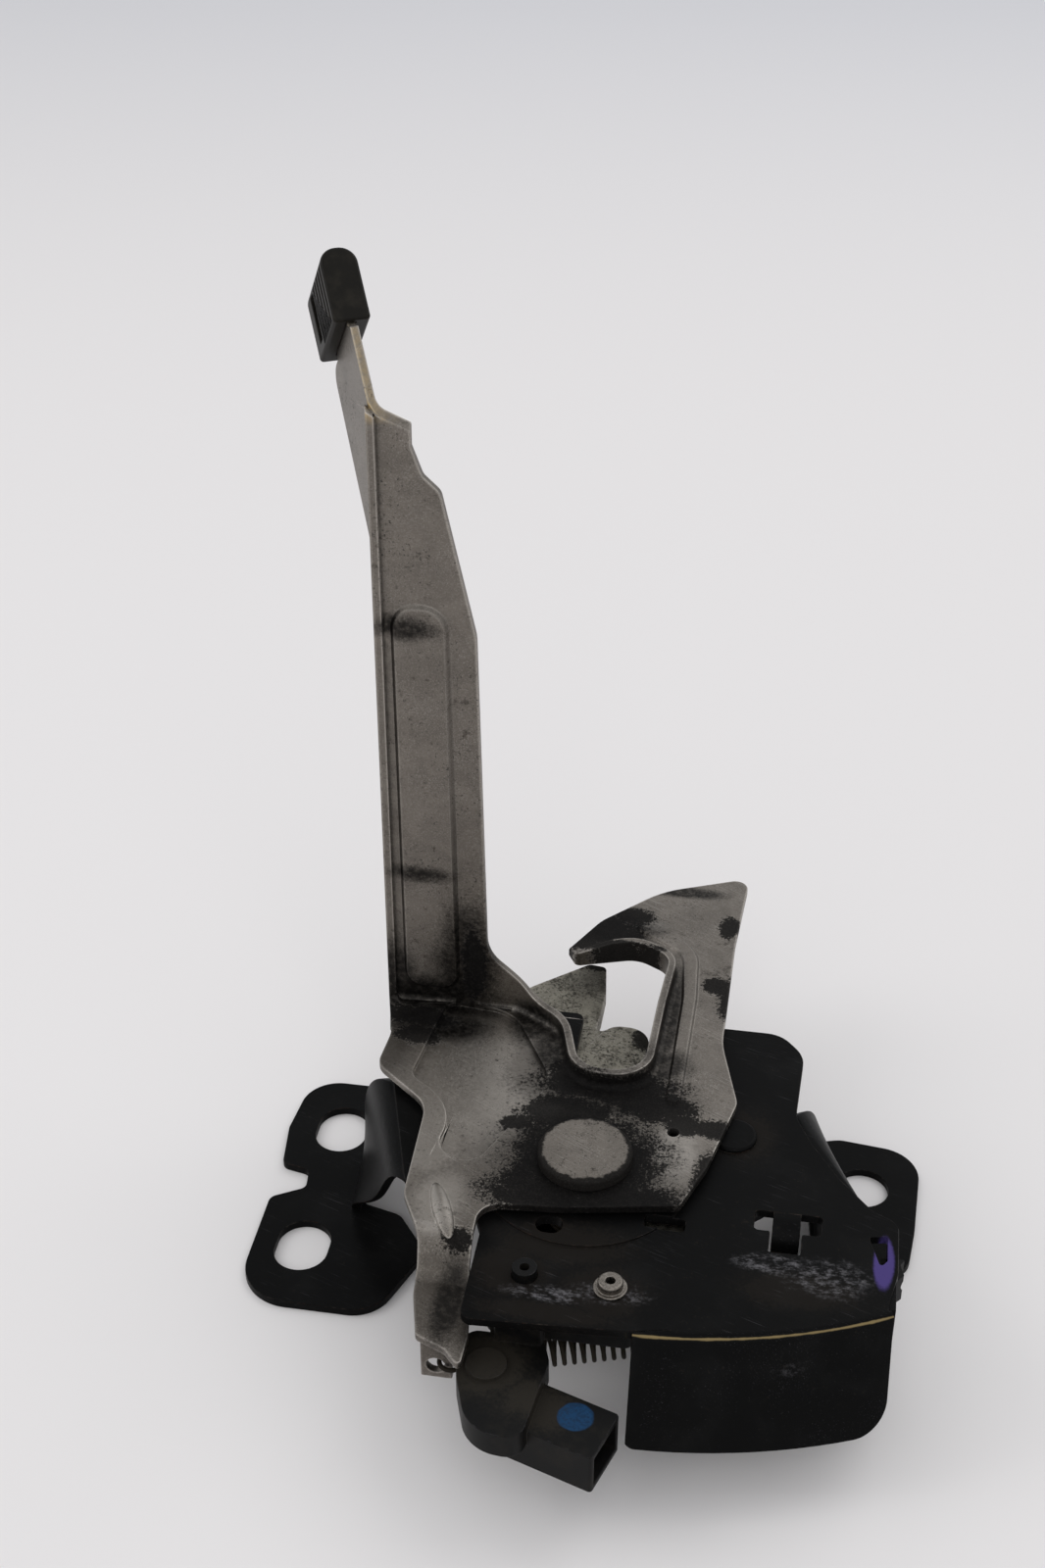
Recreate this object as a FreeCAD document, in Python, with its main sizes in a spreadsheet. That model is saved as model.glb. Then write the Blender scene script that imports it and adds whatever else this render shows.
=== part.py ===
import FreeCAD, Part
import math
import os
import re
import Sketcher
from FreeCAD import Placement, Rotation, Vector

# Hood latch actuator: a folded base plate on three bolt slots carries a fork catch,
# a pawl, a position switch and a hooked safety lever with a plastic grip.
# Millimetres. The origin is the middle of the two left slots on the mounting face,
# +X runs to the right bolt hole, +Y to the striker side, +Z out of the mounting face.

SIZES = {
    # base plate
    "base_sheet": 2.0,
    "base_rise": 36.0,
    "slot_pitch": 39.2,
    "slot_half_width": 6.1,
    "slot_length": 15.2,
    "right_hole_across": 125.0,
    "right_hole_up": 20.0,
    "right_hole_radius": 6.1,
    "ear_edge": 11.4,
    "ear_end": 16.2,
    "striker_slot_middle": 66.5,
    "striker_slot_half": 9.5,
    "striker_slot_bottom": 1.5,
    "skirt_radius": 115.0,
    "skirt_reach": 64.5,
    "skirt_drop": 22.0,
    "skirt_out": 10.4,
    "side_wall_face": 129.4,
    "bend_radius": 2.4,
    "pad_radius": 23.0,
    "pad_step": 0.5,
    # pivots
    "pivot_across": 64.5,
    "pivot_down": 20.5,
    "catch_across": 40.0,
    "catch_up": 10.0,
    "post_across": 95.0,
    "post_down": 5.0,
    "rivet_radius": 5.0,
    "rivet_head_radius": 10.2,
    "rivet_head_height": 3.0,
    "running_fit": 0.06,
    "seat_gap": 0.05,
    # safety lever
    "lever_sheet": 1.8,
    "lever_gap": 1.5,
    "lip_height": 4.0,
    "arm_height": 148.0,
    "arm_face": 28.6,
    "arm_left": 10.8,
    "arm_width": 24.2,
    "tail_drop": 8.3,
    "tip_turn": 62.0,
    "tip_rise": 44.3,
    "tip_bend": 12.4,
    "grip_length": 16.0,
    "grip_width": 20.0,
    "grip_thickness": 7.8,
    "grip_start": 20.1,
    "rib_depth": 1.1,
    "recess_depth": 0.6,
    # latch works under the base plate
    "catch_sheet": 4.0,
    "catch_gap": 1.5,
    "catch_high_radius": 22.0,
    "catch_low_radius": 17.0,
    "pawl_width": 6.0,
    "sleeve_length": 6.0,
    "back_sheet": 2.0,
    "sleeve_radius": 6.5,
    # lever spring
    "spring_radius": 2.9,
    "spring_wire": 1.0,
    "spring_pitch": 2.05,
    "spring_level": 15.5,
    # switch
    "switch_top": 26.5,
    "switch_thickness": 6.0,
    "socket_length": 21.0,
    "socket_width": 12.4,
    "socket_height": 10.0,
    "socket_wall": 1.3,
    "pin_radius": 2.6,
    "plunger_radius": 1.3,
}

BASE_TOP = "base_rise"
BASE_UNDER = "(base_rise - base_sheet)"
LEVER_UNDER = "(base_rise + lever_gap)"
LEVER_TOP = "(base_rise + lever_gap + lever_sheet)"
CATCH_TOP = "(base_rise - base_sheet - catch_gap)"
CATCH_UNDER = "(base_rise - base_sheet - catch_gap - catch_sheet)"
BACK_TOP = "(base_rise - base_sheet - catch_gap - catch_sheet - sleeve_length)"
BACK_UNDER = "(base_rise - base_sheet - catch_gap - catch_sheet - sleeve_length - back_sheet)"

doc = FreeCAD.newDocument("HoodLatch")
sheet = doc.addObject("Spreadsheet::Sheet", "Sizes")
for row, (alias, number) in enumerate(SIZES.items(), start=1):
    sheet.set("A%d" % row, alias)
    sheet.set("B%d" % row, str(number))
    sheet.setAlias("B%d" % row, alias)
doc.recompute()

NODES = []


def bound(text):
    """Return the expression with each size name written as a cell of the sheet."""
    return re.sub(r"[a-z][a-z0-9_]*", lambda found: (
        "Sizes." + found.group() if found.group() in SIZES else found.group()), str(text))


def amount(text):
    """Return the number that an expression has now."""
    return float(sheet.evalExpression(str(text)))


def bind(thing, prop, text):
    thing.setExpression(prop, bound(text))


def add(kind, name):
    return doc.addObject(kind, name)


def turned_to(plane):
    """Return the rotation that lays a sketch on a plane: XY, XZ or YZ."""
    if plane == "XZ":
        return Rotation(Vector(1, 0, 0), 90)
    if plane == "YZ":
        return Rotation(Vector(1, 1, 1), 120)
    return Rotation()


def rounded(sketch, corners):
    """Draw a closed outline: each corner is (across, up, radius), sizes bound to the sheet."""
    spots = [Vector(amount(x), amount(y), 0) for x, y, radius in corners]
    radii = [amount(radius) for x, y, radius in corners]
    count = len(corners)
    ways = [(spots[(i + 1) % count] - spots[i]).normalize() for i in range(count)]
    arcs = []
    enters = []
    leaves = []
    for i in range(count):
        before = ways[i - 1]
        after = ways[i]
        turn = math.atan2(before.x * after.y - before.y * after.x, before.dot(after))
        reach = radii[i] * math.tan(abs(turn) / 2)
        enters.append(spots[i] - before * reach)
        leaves.append(spots[i] + after * reach)
        if radii[i] <= 0:
            arcs.append(None)
            continue
        side = 1 if turn > 0 else -1
        normal = Vector(-before.y, before.x, 0) * side
        middle = enters[i] + normal * radii[i]
        start, end = (enters[i], leaves[i]) if side > 0 else (leaves[i], enters[i])
        first = math.atan2(start.y - middle.y, start.x - middle.x)
        last = math.atan2(end.y - middle.y, end.x - middle.x)
        arcs.append((Part.ArcOfCircle(Part.Circle(middle, Vector(0, 0, 1), radii[i]),
                                      first, last), side))
    lines = []
    for i in range(count):
        lines.append(sketch.addGeometry(Part.LineSegment(leaves[i], enters[(i + 1) % count])))
    for i, (x, y, radius) in enumerate(corners):
        before = lines[i - 1]
        after = lines[i]
        if arcs[i] is None:
            sketch.addConstraint(Sketcher.Constraint("Coincident", before, 2, after, 1))
            held = (after, 1)
        else:
            shape, side = arcs[i]
            arc = sketch.addGeometry(shape)
            first, last = (1, 2) if side > 0 else (2, 1)
            sketch.addConstraint(Sketcher.Constraint("Tangent", before, 2, arc, first))
            sketch.addConstraint(Sketcher.Constraint("Tangent", after, 1, arc, last))
            hold(sketch, Sketcher.Constraint("Radius", arc, radii[i]), "round%d" % i, radius)
            point = sketch.addGeometry(Part.Point(spots[i]), True)
            sketch.addConstraint(Sketcher.Constraint("PointOnObject", point, 1, before))
            sketch.addConstraint(Sketcher.Constraint("PointOnObject", point, 1, after))
            held = (point, 1)
        hold(sketch, Sketcher.Constraint("DistanceX", -1, 1, held[0], held[1], spots[i].x),
             "across%d" % i, x)
        hold(sketch, Sketcher.Constraint("DistanceY", -1, 1, held[0], held[1], spots[i].y),
             "up%d" % i, y)
    return sketch


def hold(sketch, constraint, name, text):
    """Add a named constraint, bound to the sheet where its size is a name."""
    index = sketch.addConstraint(constraint)
    if re.search("[a-z]", str(text)):
        sketch.renameConstraint(index, name)
        bind(sketch, "Constraints." + name, text)


def place(thing, across="0", up="0", level="0", turn=None):
    """Set a placement: a fixed rotation, and a position bound to the sheet."""
    spot = Vector(amount(across), amount(up), amount(level))
    thing.Placement = Placement(spot, turn or Rotation())
    for axis, text in zip("xyz", (across, up, level)):
        if re.search("[a-z]", str(text)):
            bind(thing, "Placement.Base." + axis, text)
    return thing


def outline(name, corners, plane="XY", across="0", up="0", level="0", turn=None):
    sketch = add("Sketcher::SketchObject", name + "_outline")
    place(sketch, across, up, level, (turn or Rotation()) * turned_to(plane))
    return rounded(sketch, corners)


def extruded(name, sketch, forward, back="0", taper="0"):
    """Extrude a sketch along its normal, forward and back."""
    solid = add("Part::Extrusion", name)
    solid.Base = sketch
    solid.DirMode = "Normal"
    solid.Solid = True
    solid.LengthFwd = amount(forward)
    bind(solid, "LengthFwd", forward)
    if str(back) != "0":
        solid.LengthRev = amount(back)
        bind(solid, "LengthRev", back)
    if str(taper) != "0":
        solid.TaperAngle = amount(taper)
    return solid


def prism(name, corners, low, high):
    """An upright prism on a rounded outline, between two levels."""
    return extruded(name, outline(name, corners, level=low), "(%s) - (%s)" % (high, low))


def cylinder(name, radius, low, high, across="0", up="0"):
    solid = add("Part::Cylinder", name)
    bind(solid, "Radius", radius)
    bind(solid, "Height", "(%s) - (%s)" % (high, low))
    return place(solid, across, up, low)


def box(name, left, right, near, far, low, high):
    solid = add("Part::Box", name)
    bind(solid, "Length", "(%s) - (%s)" % (right, left))
    bind(solid, "Width", "(%s) - (%s)" % (far, near))
    bind(solid, "Height", "(%s) - (%s)" % (high, low))
    return place(solid, left, near, low)


def cut(name, base, *tools):
    for number, tool in enumerate(tools, start=1):
        result = add("Part::Cut", name if number == len(tools) else "%s_cut%d" % (name, number))
        result.Base = base
        result.Tool = tool
        base = result
    return base


def fuse(name, *pieces):
    result = add("Part::MultiFuse", name)
    result.Shapes = list(pieces)
    return result


def common(name, *pieces):
    result = add("Part::MultiCommon", name)
    result.Shapes = list(pieces)
    return result


def refined(name, piece):
    result = add("Part::Refine", name)
    result.Source = piece
    return result


def node(name, thing):
    thing.Label = name
    NODES.append((name, thing))
    return thing


def origin_plane(body, role):
    return [part for part in body.Origin.OriginFeatures if part.Role == role][0]


def turned(name, profile, across, up, level="0"):
    """A turned piece: a profile of (radius, level, rounding) corners about an upright axis."""
    body = add("PartDesign::Body", name)
    sketch = body.newObject("Sketcher::SketchObject", name + "_profile")
    sketch.AttachmentSupport = (origin_plane(body, "XZ_Plane"), [""])
    sketch.MapMode = "FlatFace"
    rounded(sketch, profile)
    revolution = body.newObject("PartDesign::Revolution", name + "_turning")
    revolution.Profile = sketch
    revolution.ReferenceAxis = (sketch, ["V_Axis"])
    revolution.Angle = 360
    sketch.Visibility = False
    place(body, across, up, level)
    return node(name, body)


PIVOT = ("pivot_across", "0 - pivot_down")
CATCH = ("catch_across", "catch_up")
POST = ("post_across", "0 - post_down")


def slot_hole(name, across, up):
    """A bolt slot that runs along Y, cut through an ear."""
    reach = "slot_length / 2"
    half = "slot_half_width"
    rounding = "slot_half_width - 0.02"
    corners = [("%s - %s" % (across, half), "%s - %s" % (up, reach), rounding),
               ("%s + %s" % (across, half), "%s - %s" % (up, reach), rounding),
               ("%s + %s" % (across, half), "%s + %s" % (up, reach), rounding),
               ("%s - %s" % (across, half), "%s + %s" % (up, reach), rounding)]
    return prism(name, corners, "-1", "base_sheet + 1")


def leg(name, rails):
    """A folded leg between an ear and the raised plate: sections (level, far, near) lofted.

    far and near are (across, up) ends of the sheet's outer face at that level, and
    the inner face lies one sheet further in, on the side that side names."""
    sections = []
    for number, (level, far, near, side) in enumerate(rails):
        along = Vector(near[0] - far[0], near[1] - far[1], 0).normalize()
        inward = Vector(-along.y, along.x, 0) * side * amount("base_sheet")
        corners = [(far[0], far[1], "0"), (near[0], near[1], "0"),
                   (near[0] + inward.x, near[1] + inward.y, "0"),
                   (far[0] + inward.x, far[1] + inward.y, "0")]
        sections.append(outline("%s_%d" % (name, number), corners, level=level))
    loft = add("Part::Loft", name)
    loft.Sections = sections
    loft.Solid = True
    loft.Ruled = False
    return loft


def base_plate():
    half = "striker_slot_half"
    middle = "striker_slot_middle"
    top = prism("base_top", [
        ("45.6", "-66.3", "2.5"), ("79", "-64.4", "2"), ("104", "-59", "60"),
        ("side_wall_face + 0.4", "-50", "2"), ("side_wall_face + base_sheet + 0.2", "-40", "6"),
        ("side_wall_face + base_sheet", "-25.6", "4"),
        ("125.8", "-22.6", "5"), ("118.4", "-14", "8"), ("112", "-4", "8"),
        ("108.2", "4", "8"), ("108.8", "25", "8"), ("103", "31.7", "7"),
        ("%s + %s" % (middle, half), "31.7", "2"),
        ("%s + %s" % (middle, half), "striker_slot_bottom", "striker_slot_half - 0.02"),
        ("%s - %s" % (middle, half), "striker_slot_bottom", "striker_slot_half - 0.02"),
        ("%s - %s" % (middle, half), "31.7", "2"),
        ("24", "31.7", "8"), ("17.2", "17", "6"), ("18", "0.5", "3"),
        ("27", "-30", "4"), ("43.5", "-37", "3"), ("45.6", "-42", "5")],
        BASE_UNDER, BASE_TOP)
    skirt_profile = outline("skirt", [
        ("skirt_radius - 14", BASE_UNDER, "0"),
        ("skirt_radius - base_sheet * 0.58", BASE_UNDER, "bend_radius - base_sheet + 0.4"),
        ("skirt_radius + skirt_out - base_sheet * 1.15", "base_rise - skirt_drop", "0"),
        ("skirt_radius + skirt_out", "base_rise - skirt_drop", "0"),
        ("skirt_radius", BASE_TOP, "bend_radius"),
        ("skirt_radius - 14", BASE_TOP, "0")], plane="XZ")
    sweep = add("Part::Revolution", "skirt_sweep")
    sweep.Source = skirt_profile
    sweep.Axis = Vector(0, 0, 1)
    sweep.Base = Vector(0, 0, 0)
    sweep.Angle = 26.4
    sweep.Solid = True
    place(sweep, "77", "skirt_radius - skirt_reach", turn=Rotation(Vector(0, 0, 1), -88.4))
    skirt_front = outline("skirt_front", [
        ("78", "base_rise + 1", "0"), ("80.1", "base_rise - skirt_drop", "2.5"),
        ("side_wall_face + base_sheet", "base_rise - skirt_drop", "6"),
        ("side_wall_face + base_sheet - 0.4", "base_rise + 1", "0")], plane="XZ")
    skirt = common("skirt", sweep, extruded("skirt_front_band", skirt_front, "90"))
    left_ear = prism("left_ear", [
        ("10.4", "20 + ear_end", "1"), ("10.4", "-4", "2"), ("20", "-6.5", "4"),
        ("28", "-17", "5"), ("20.5", "-1.2 - slot_pitch / 2 - ear_end", "9"),
        ("0 - ear_edge", "-1.2 - slot_pitch / 2 - ear_end", "11.5"),
        ("0 - ear_edge", "-5.6", "2.5"), ("-3.9", "-1.2", "1.8"), ("-4.6", "4.6", "1.8"),
        ("0 - ear_edge", "6", "2"), ("0 - ear_edge - 1.6", "18.4", "4"),
        ("0 - ear_edge", "20 + ear_end", "9")], "0", "base_sheet")
    right_ear = prism("right_ear", [
        ("113", "10", "2"), ("113.2", "34", "4"), ("119", "right_hole_up + 15.8", "6"),
        ("right_hole_across + 13.4", "right_hole_up + 13.6", "9.5"),
        ("right_hole_across + 12.4", "8", "20"), ("right_hole_across + 11", "-6", "6"),
        ("115", "-8", "3")], "0", "base_sheet")
    left_leg = leg("left_leg", [
        ("0.6", (8.4, 15.0), (8.4, -6.0), 1), ("9", (7.6, 13.6), (11.0, -11.5), 1),
        ("21", (8.6, 9.6), (18.0, -20.5), 1), ("30", (11.2, 6.4), (21.4, -24.6), 1),
        ("base_rise - base_sheet / 2", (18.2, 0.8), (26.8, -29.6), 1)])
    right_leg = leg("right_leg", [
        ("0.6", (115.2, 28.0), (117.2, -4.0), -1), ("12", (114.6, 25.0), (119.6, -8.0), -1),
        ("22", (113.2, 18.5), (122.2, -14.5), -1), ("31", (111.4, 12.0), (123.6, -17.4), -1),
        ("base_rise - base_sheet / 2", (108.4, 5.2), (124.2, -21.4), -1)])
    side_wall = box("side_wall", "side_wall_face", "side_wall_face + base_sheet", "-49.6", "-28.2",
                    "base_rise - skirt_drop - 1", "base_rise - 0.6")
    wall_window = box("wall_window", "126", "134", "-36.5", "-29.5", "23", "33.4")
    lanced_tab = box("lanced_tab", "105.2", "111.4", "-38 - base_sheet", "-38", "11.5", BASE_TOP)
    tab_eye = add("Part::Cylinder", "tab_eye")
    bind(tab_eye, "Radius", "2")
    bind(tab_eye, "Height", "8")
    place(tab_eye, "108.3", "-34", "spring_level", Rotation(Vector(1, 0, 0), 90))
    pad = cylinder("pad", "pad_radius", BASE_TOP, "base_rise + pad_step", *PIVOT)
    cuts = [
        slot_hole("slot_upper", "0", "slot_pitch / 2"),
        slot_hole("slot_lower", "0", "0 - slot_pitch / 2"),
        cylinder("right_hole", "right_hole_radius", "-1", "base_sheet + 1",
                 "right_hole_across", "right_hole_up"),
        wall_window,
        cylinder("pivot_hole", "rivet_radius", "base_rise - 5", "base_rise + 5", *PIVOT),
        cylinder("catch_hole", "rivet_radius", "base_rise - 5", "base_rise + 5", *CATCH),
        cylinder("post_hole", "rivet_radius * 0.8", "base_rise - 5", "base_rise + 5", *POST),
        cylinder("black_pin_hole", "pin_radius + running_fit", "base_rise - 5", "base_rise + 5",
                 "56.7", "-52.6"),
        cylinder("bright_pin_hole", "pin_radius + running_fit", "base_rise - 5", "base_rise + 5",
                 "74.4", "-53.6"),
        prism("oblong_hole", [("56.7", "-40.6", "2.2"), ("62.3", "-40.6", "2.2"),
                              ("62.3", "-35.8", "2.2"), ("56.7", "-35.8", "2.2")],
              "base_rise - 5", "base_rise + 5"),
        prism("edge_slot", [("79", "-35.4", "0.6"), ("87.4", "-35.4", "0.6"),
                            ("87.4", "-31.9", "0.6"), ("79", "-31.9", "0.6")],
              "base_rise - 5", "base_rise + 5"),
        prism("corner_window", [
            ("125.4", "-30.6", "0.5"), ("side_wall_face - 0.2", "-29.8", "0.5"),
            ("side_wall_face", "-36.5", "0.5"), ("side_wall_face - 1.4", "-38.6", "0.5")],
            "base_rise - 5", "base_rise + 5"),
        prism("lanced_hole", [
            ("105", "-38", "0.4"), ("111.6", "-38", "0.4"), ("111.6", "-32", "0.5"),
            ("115.6", "-32", "1"), ("115.6", "-26.4", "1"), ("101.6", "-26.4", "1"),
            ("101.6", "-32", "1"), ("105", "-32", "0.5")], "base_rise - 5", "base_rise + 5")]
    raised = cut("raised_plate", fuse("raised_pad", top, pad, skirt), *cuts[4:])
    ears = cut("ears", fuse("ear_pair", left_ear, right_ear), *cuts[:3])
    tab = cut("tab", lanced_tab, tab_eye)
    walls = cut("side_walls", side_wall, cuts[3])
    whole = fuse("base_whole", raised, ears, left_leg, right_leg, walls, tab)
    return node("base_plate", refined("base_plate", whole))


LEVER_CORNERS = [
    ("arm_left", "arm_face", "0.4"), ("14.6", "14", "10"), ("13.8", "2.6", "5"),
    ("27.4", "-8.8", "9"), ("28.3", "-37", "8"), ("33.4", "-47", "6"), ("34.4", "-57", "12"),
    ("37", "-67.5", "1.6"), ("43.4", "-70.2", "3"), ("47.3", "-74.6", "0.8"),
    ("47.6", "-66", "5"), ("44.9", "-50", "10"), ("44.7", "-37.2", "5"), ("62", "-35.8", "20"),
    ("85.9", "-31.4", "1.5"), ("90.4", "-19", "10"), ("95.2", "2.5", "6"), ("90.1", "22", "25"),
    ("89.9", "60", "30"), ("91.2", "87.8", "3"), ("70", "78.6", "25"), ("56.5", "64", "14"),
    ("50.2", "51.4", "0.9"), ("52.6", "47.2", "1.6"), ("67", "52", "7"), ("75.2", "47.4", "5"),
    ("74.2", "30", "12"), ("73.6", "4.8", "7"), ("59.4", "4.8", "6.6"), ("54.6", "21.6", "13"),
    ("43", "arm_face", "9")]


def secondary_lever():
    low = "18"
    high = "base_rise + arm_height + 30"
    blank = outline("lever", LEVER_CORNERS, level=low)
    whole = extruded("lever_blank", blank, "60")
    shrunk = add("Part::Offset2D", "lever_inner_outline")
    shrunk.Source = blank
    bind(shrunk, "Value", "0 - lever_sheet")
    inner = extruded("lever_inner", shrunk, "arm_height + 60")
    tall = extruded("lever_tall", blank, "arm_height + 60")
    ring = cut("lever_ring", tall, inner)
    jog = outline("lever_jog", [
        ("-90", LEVER_TOP + " - tail_drop", "0"), ("-51.5", LEVER_TOP + " - tail_drop", "4"),
        ("-45.5", LEVER_TOP, "3"), ("95", LEVER_TOP, "0"), ("95", LEVER_UNDER, "0"),
        ("-46.5", LEVER_UNDER, "4"), ("-52.5", LEVER_UNDER + " - tail_drop", "3"),
        ("-90", LEVER_UNDER + " - tail_drop", "0")], plane="YZ")
    plate = common("lever_plate", whole, extruded("lever_sheet_band", jog, "120"))
    zone = prism("wall_zone", [
        ("5", "25.6", "0"), ("38", "25.6", "0"), ("47", "21", "0"), ("53.5", "9", "0"),
        ("55", "1.5", "0"), ("76.5", "1.5", "0"), ("78", "50", "0"), ("66", "54.4", "0"),
        ("49", "49.6", "0"), ("46", "30.5", "0"), ("5", "30.5", "0")], low, high)
    arm_right = "arm_left + arm_width"
    profile = outline("arm", [
        ("arm_left - 0.2", LEVER_UNDER, "0"), ("82", LEVER_UNDER, "0"),
        ("82", LEVER_TOP + " + lip_height", "0"),
        (arm_right + " + 12", LEVER_TOP + " + lip_height", "8"),
        (arm_right + " - 0.2", LEVER_TOP + " + 15", "9"),
        (arm_right + " - 1.8", LEVER_TOP + " + arm_height - 50", "12"),
        (arm_right + " - 8.8", LEVER_TOP + " + arm_height - 17", "3"),
        (arm_right + " - 12.4", LEVER_TOP + " + arm_height - 13.6", "3"),
        (arm_right + " - 15.6", LEVER_TOP + " + arm_height - 4.6", "4"),
        ("tip_bend + 1", LEVER_TOP + " + arm_height - 1", "0"),
        ("2", LEVER_TOP + " + arm_height + 6", "0"),
        ("2", LEVER_TOP + " + arm_height - 34", "0"),
        ("arm_left - 0.6", LEVER_TOP + " + arm_height - 42", "4")], plane="XZ")
    standing = common("lever_wall", ring, zone, extruded("arm_band", profile, "0.01", "60"))
    run_out = outline("lip_run_out", [
        ("46", LEVER_TOP, "0"), ("64.5", LEVER_TOP + " + lip_height + 1", "0"),
        ("46", LEVER_TOP + " + lip_height + 1", "0")], plane="XZ", up="60")
    wall_part = cut("lever_wall_tapered", standing, extruded("lip_run_out_band", run_out, "16"))
    plan_way = (math.cos(math.radians(amount("180 - tip_turn"))),
                math.sin(math.radians(amount("180 - tip_turn"))))
    reach = 40.0
    sheet_wide = amount("lever_sheet")
    side = (plan_way[1], -plan_way[0])
    outer_end = ("tip_bend + (%.6f)" % (plan_way[0] * reach),
                 "arm_face - lever_sheet + (%.6f)" % (plan_way[1] * reach))
    strip_plan = outline("tip_plan", [
        ("tip_bend + 8", "arm_face - lever_sheet", "0"),
        ("tip_bend", "arm_face - lever_sheet", "lever_sheet + 2.6"), (outer_end[0], outer_end[1], "0"),
        (outer_end[0] + " + (%.6f)" % (side[0] * sheet_wide),
         outer_end[1] + " + (%.6f)" % (side[1] * sheet_wide), "0"),
        ("tip_bend + lever_sheet * tan(tip_turn / 2)", "arm_face", "2.6"),
        ("tip_bend + 8", "arm_face", "0")], level="base_rise + arm_height - 60")
    turn = Rotation(Vector(0, 0, 1), -amount("tip_turn"))
    rise = math.radians(amount("tip_rise"))
    tip_top = LEVER_TOP + " + arm_height - 0.6"
    along = (-math.cos(rise), math.sin(rise))
    down = (-math.sin(rise), -math.cos(rise))

    def tip_corner(length, width, rounding):
        across = along[0] * length + down[0] * width
        upward = along[1] * length + down[1] * width
        return ("%.4f" % across, "%.4f" % upward, rounding)

    inside = amount("grip_start")
    outline_tip = outline("tip_side", [
        tip_corner(-8.1, -0.2, "0"), tip_corner(0.0, 0.0, "12"), tip_corner(inside - 1, 0.0, "0.8"),
        tip_corner(inside - 1, 1.6, "0.4"), tip_corner(inside + 13, 2.6, "2"),
        tip_corner(inside + 13, 14.6, "2"), tip_corner(inside - 1, 16.4, "0.4"),
        tip_corner(inside - 1, 22.5, "4"), tip_corner(-6.0, 24.0, "14"),
        tip_corner(-24.0, 25.0, "0"), tip_corner(-22.0, 18.0, "0")],
        plane="XZ", across="tip_bend", up="arm_face - lever_sheet", level=tip_top, turn=turn)
    strip = common("tip_strip", extruded("tip_band", strip_plan, "120"),
                   extruded("tip_side_band", outline_tip, "12", "12"))
    rib = arm_rib()
    recess = prism("recess_under", KIDNEY, LEVER_UNDER + " - recess_depth", LEVER_UNDER + " + 0.01")
    bead = hook_bead()
    bump = add("Part::Ellipsoid", "neck_bump")
    bump.Radius1 = 1.0
    bump.Radius2 = 8.2
    bump.Radius3 = 2.0
    place(bump, "37.4", "-40.8", LEVER_TOP, Rotation(Vector(0, 0, 1), -68.5))
    tab = prism("tail_tab", [
        ("36.4", "-61.2", "0.4"), ("43", "-61.2", "0.4"), ("43", "-59.4", "0.4"), ("36.4", "-59.4", "0.4")],
        "12", LEVER_UNDER + " - tail_drop + 0.4")
    sheet_parts = fuse("lever_sheet_parts", plate, wall_part, strip, rib[0], recess, bead, bump, tab)
    eye = add("Part::Cylinder", "tail_eye")
    bind(eye, "Radius", "2")
    bind(eye, "Height", "8")
    place(eye, "39.6", "-56", "spring_level", Rotation(Vector(1, 0, 0), 90))
    shaped = cut("lever_shaped", sheet_parts,
                 prism("recess_top", KIDNEY_TOP, LEVER_TOP + " - recess_depth", LEVER_TOP + " + 3"),
                 rib[1], eye,
                 cylinder("lever_hole", "rivet_radius + running_fit", "20", "60", *PIVOT),
                 cylinder("hook_hole", "1.3", "20", "60", "82.2", "-9.2"))
    return node("secondary_lever", refined("secondary_lever", shaped))


KIDNEY = [("20.8", "-0.6", "5"), ("24.4", "28.4", "4"), ("42", "27", "12"), ("55", "3", "12"),
          ("41", "-29.4", "6"), ("30.4", "-22", "8"), ("33", "-9", "14")]
KIDNEY_TOP = [("22", "0.2", "4.2"), ("25.4", "27.2", "3.2"), ("41.2", "25.8", "11"),
              ("53.6", "3.2", "11"), ("40.4", "-27.8", "5"), ("32", "-21.6", "6"), ("34.6", "-8.6", "15")]


def arm_rib():
    """The long pressed rib of the arm: raised on the near face, hollow on the far one."""
    low = LEVER_TOP + " + 4"
    high = "base_rise + arm_height - 40"

    def ring(grow):
        return [("15.8 - %s" % grow, low, "4.2 + %s" % grow), ("28 + %s" % grow, low, "4.2 + %s" % grow),
                ("27 + %s" % grow, "%s + %s" % (high, grow), "5.3 + %s" % grow),
                ("15.4 - %s" % grow, "%s + %s" % (high, grow), "5.3 + %s" % grow)]

    raised = extruded("rib_raised", outline("rib_raised", ring("0.6"), plane="XZ",
                                            up="arm_face - lever_sheet + 0.2"),
                      "rib_depth + 0.2", taper="-35")
    hollow = extruded("rib_hollow", outline("rib_hollow", ring("0"), plane="XZ", up="arm_face + 0.2"),
                      "rib_depth + 0.2", taper="-35")
    return raised, hollow


def hook_bead():
    """The long bead pressed into the hook's shank, beside the throat."""
    corners = [("64", "64.6", "1"), ("66.4", "60.4", "1"), ("77.6", "53.6", "8"), ("79.2", "36", "30"),
               ("79.2", "-0.5", "1.8"), ("83", "-0.5", "1.8"), ("83", "37", "34"), ("81.6", "57.6", "12")]
    return extruded("hook_bead", outline("hook_bead", corners, level=LEVER_TOP + " - 0.2"), "0.9",
                    taper="-30")


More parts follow.
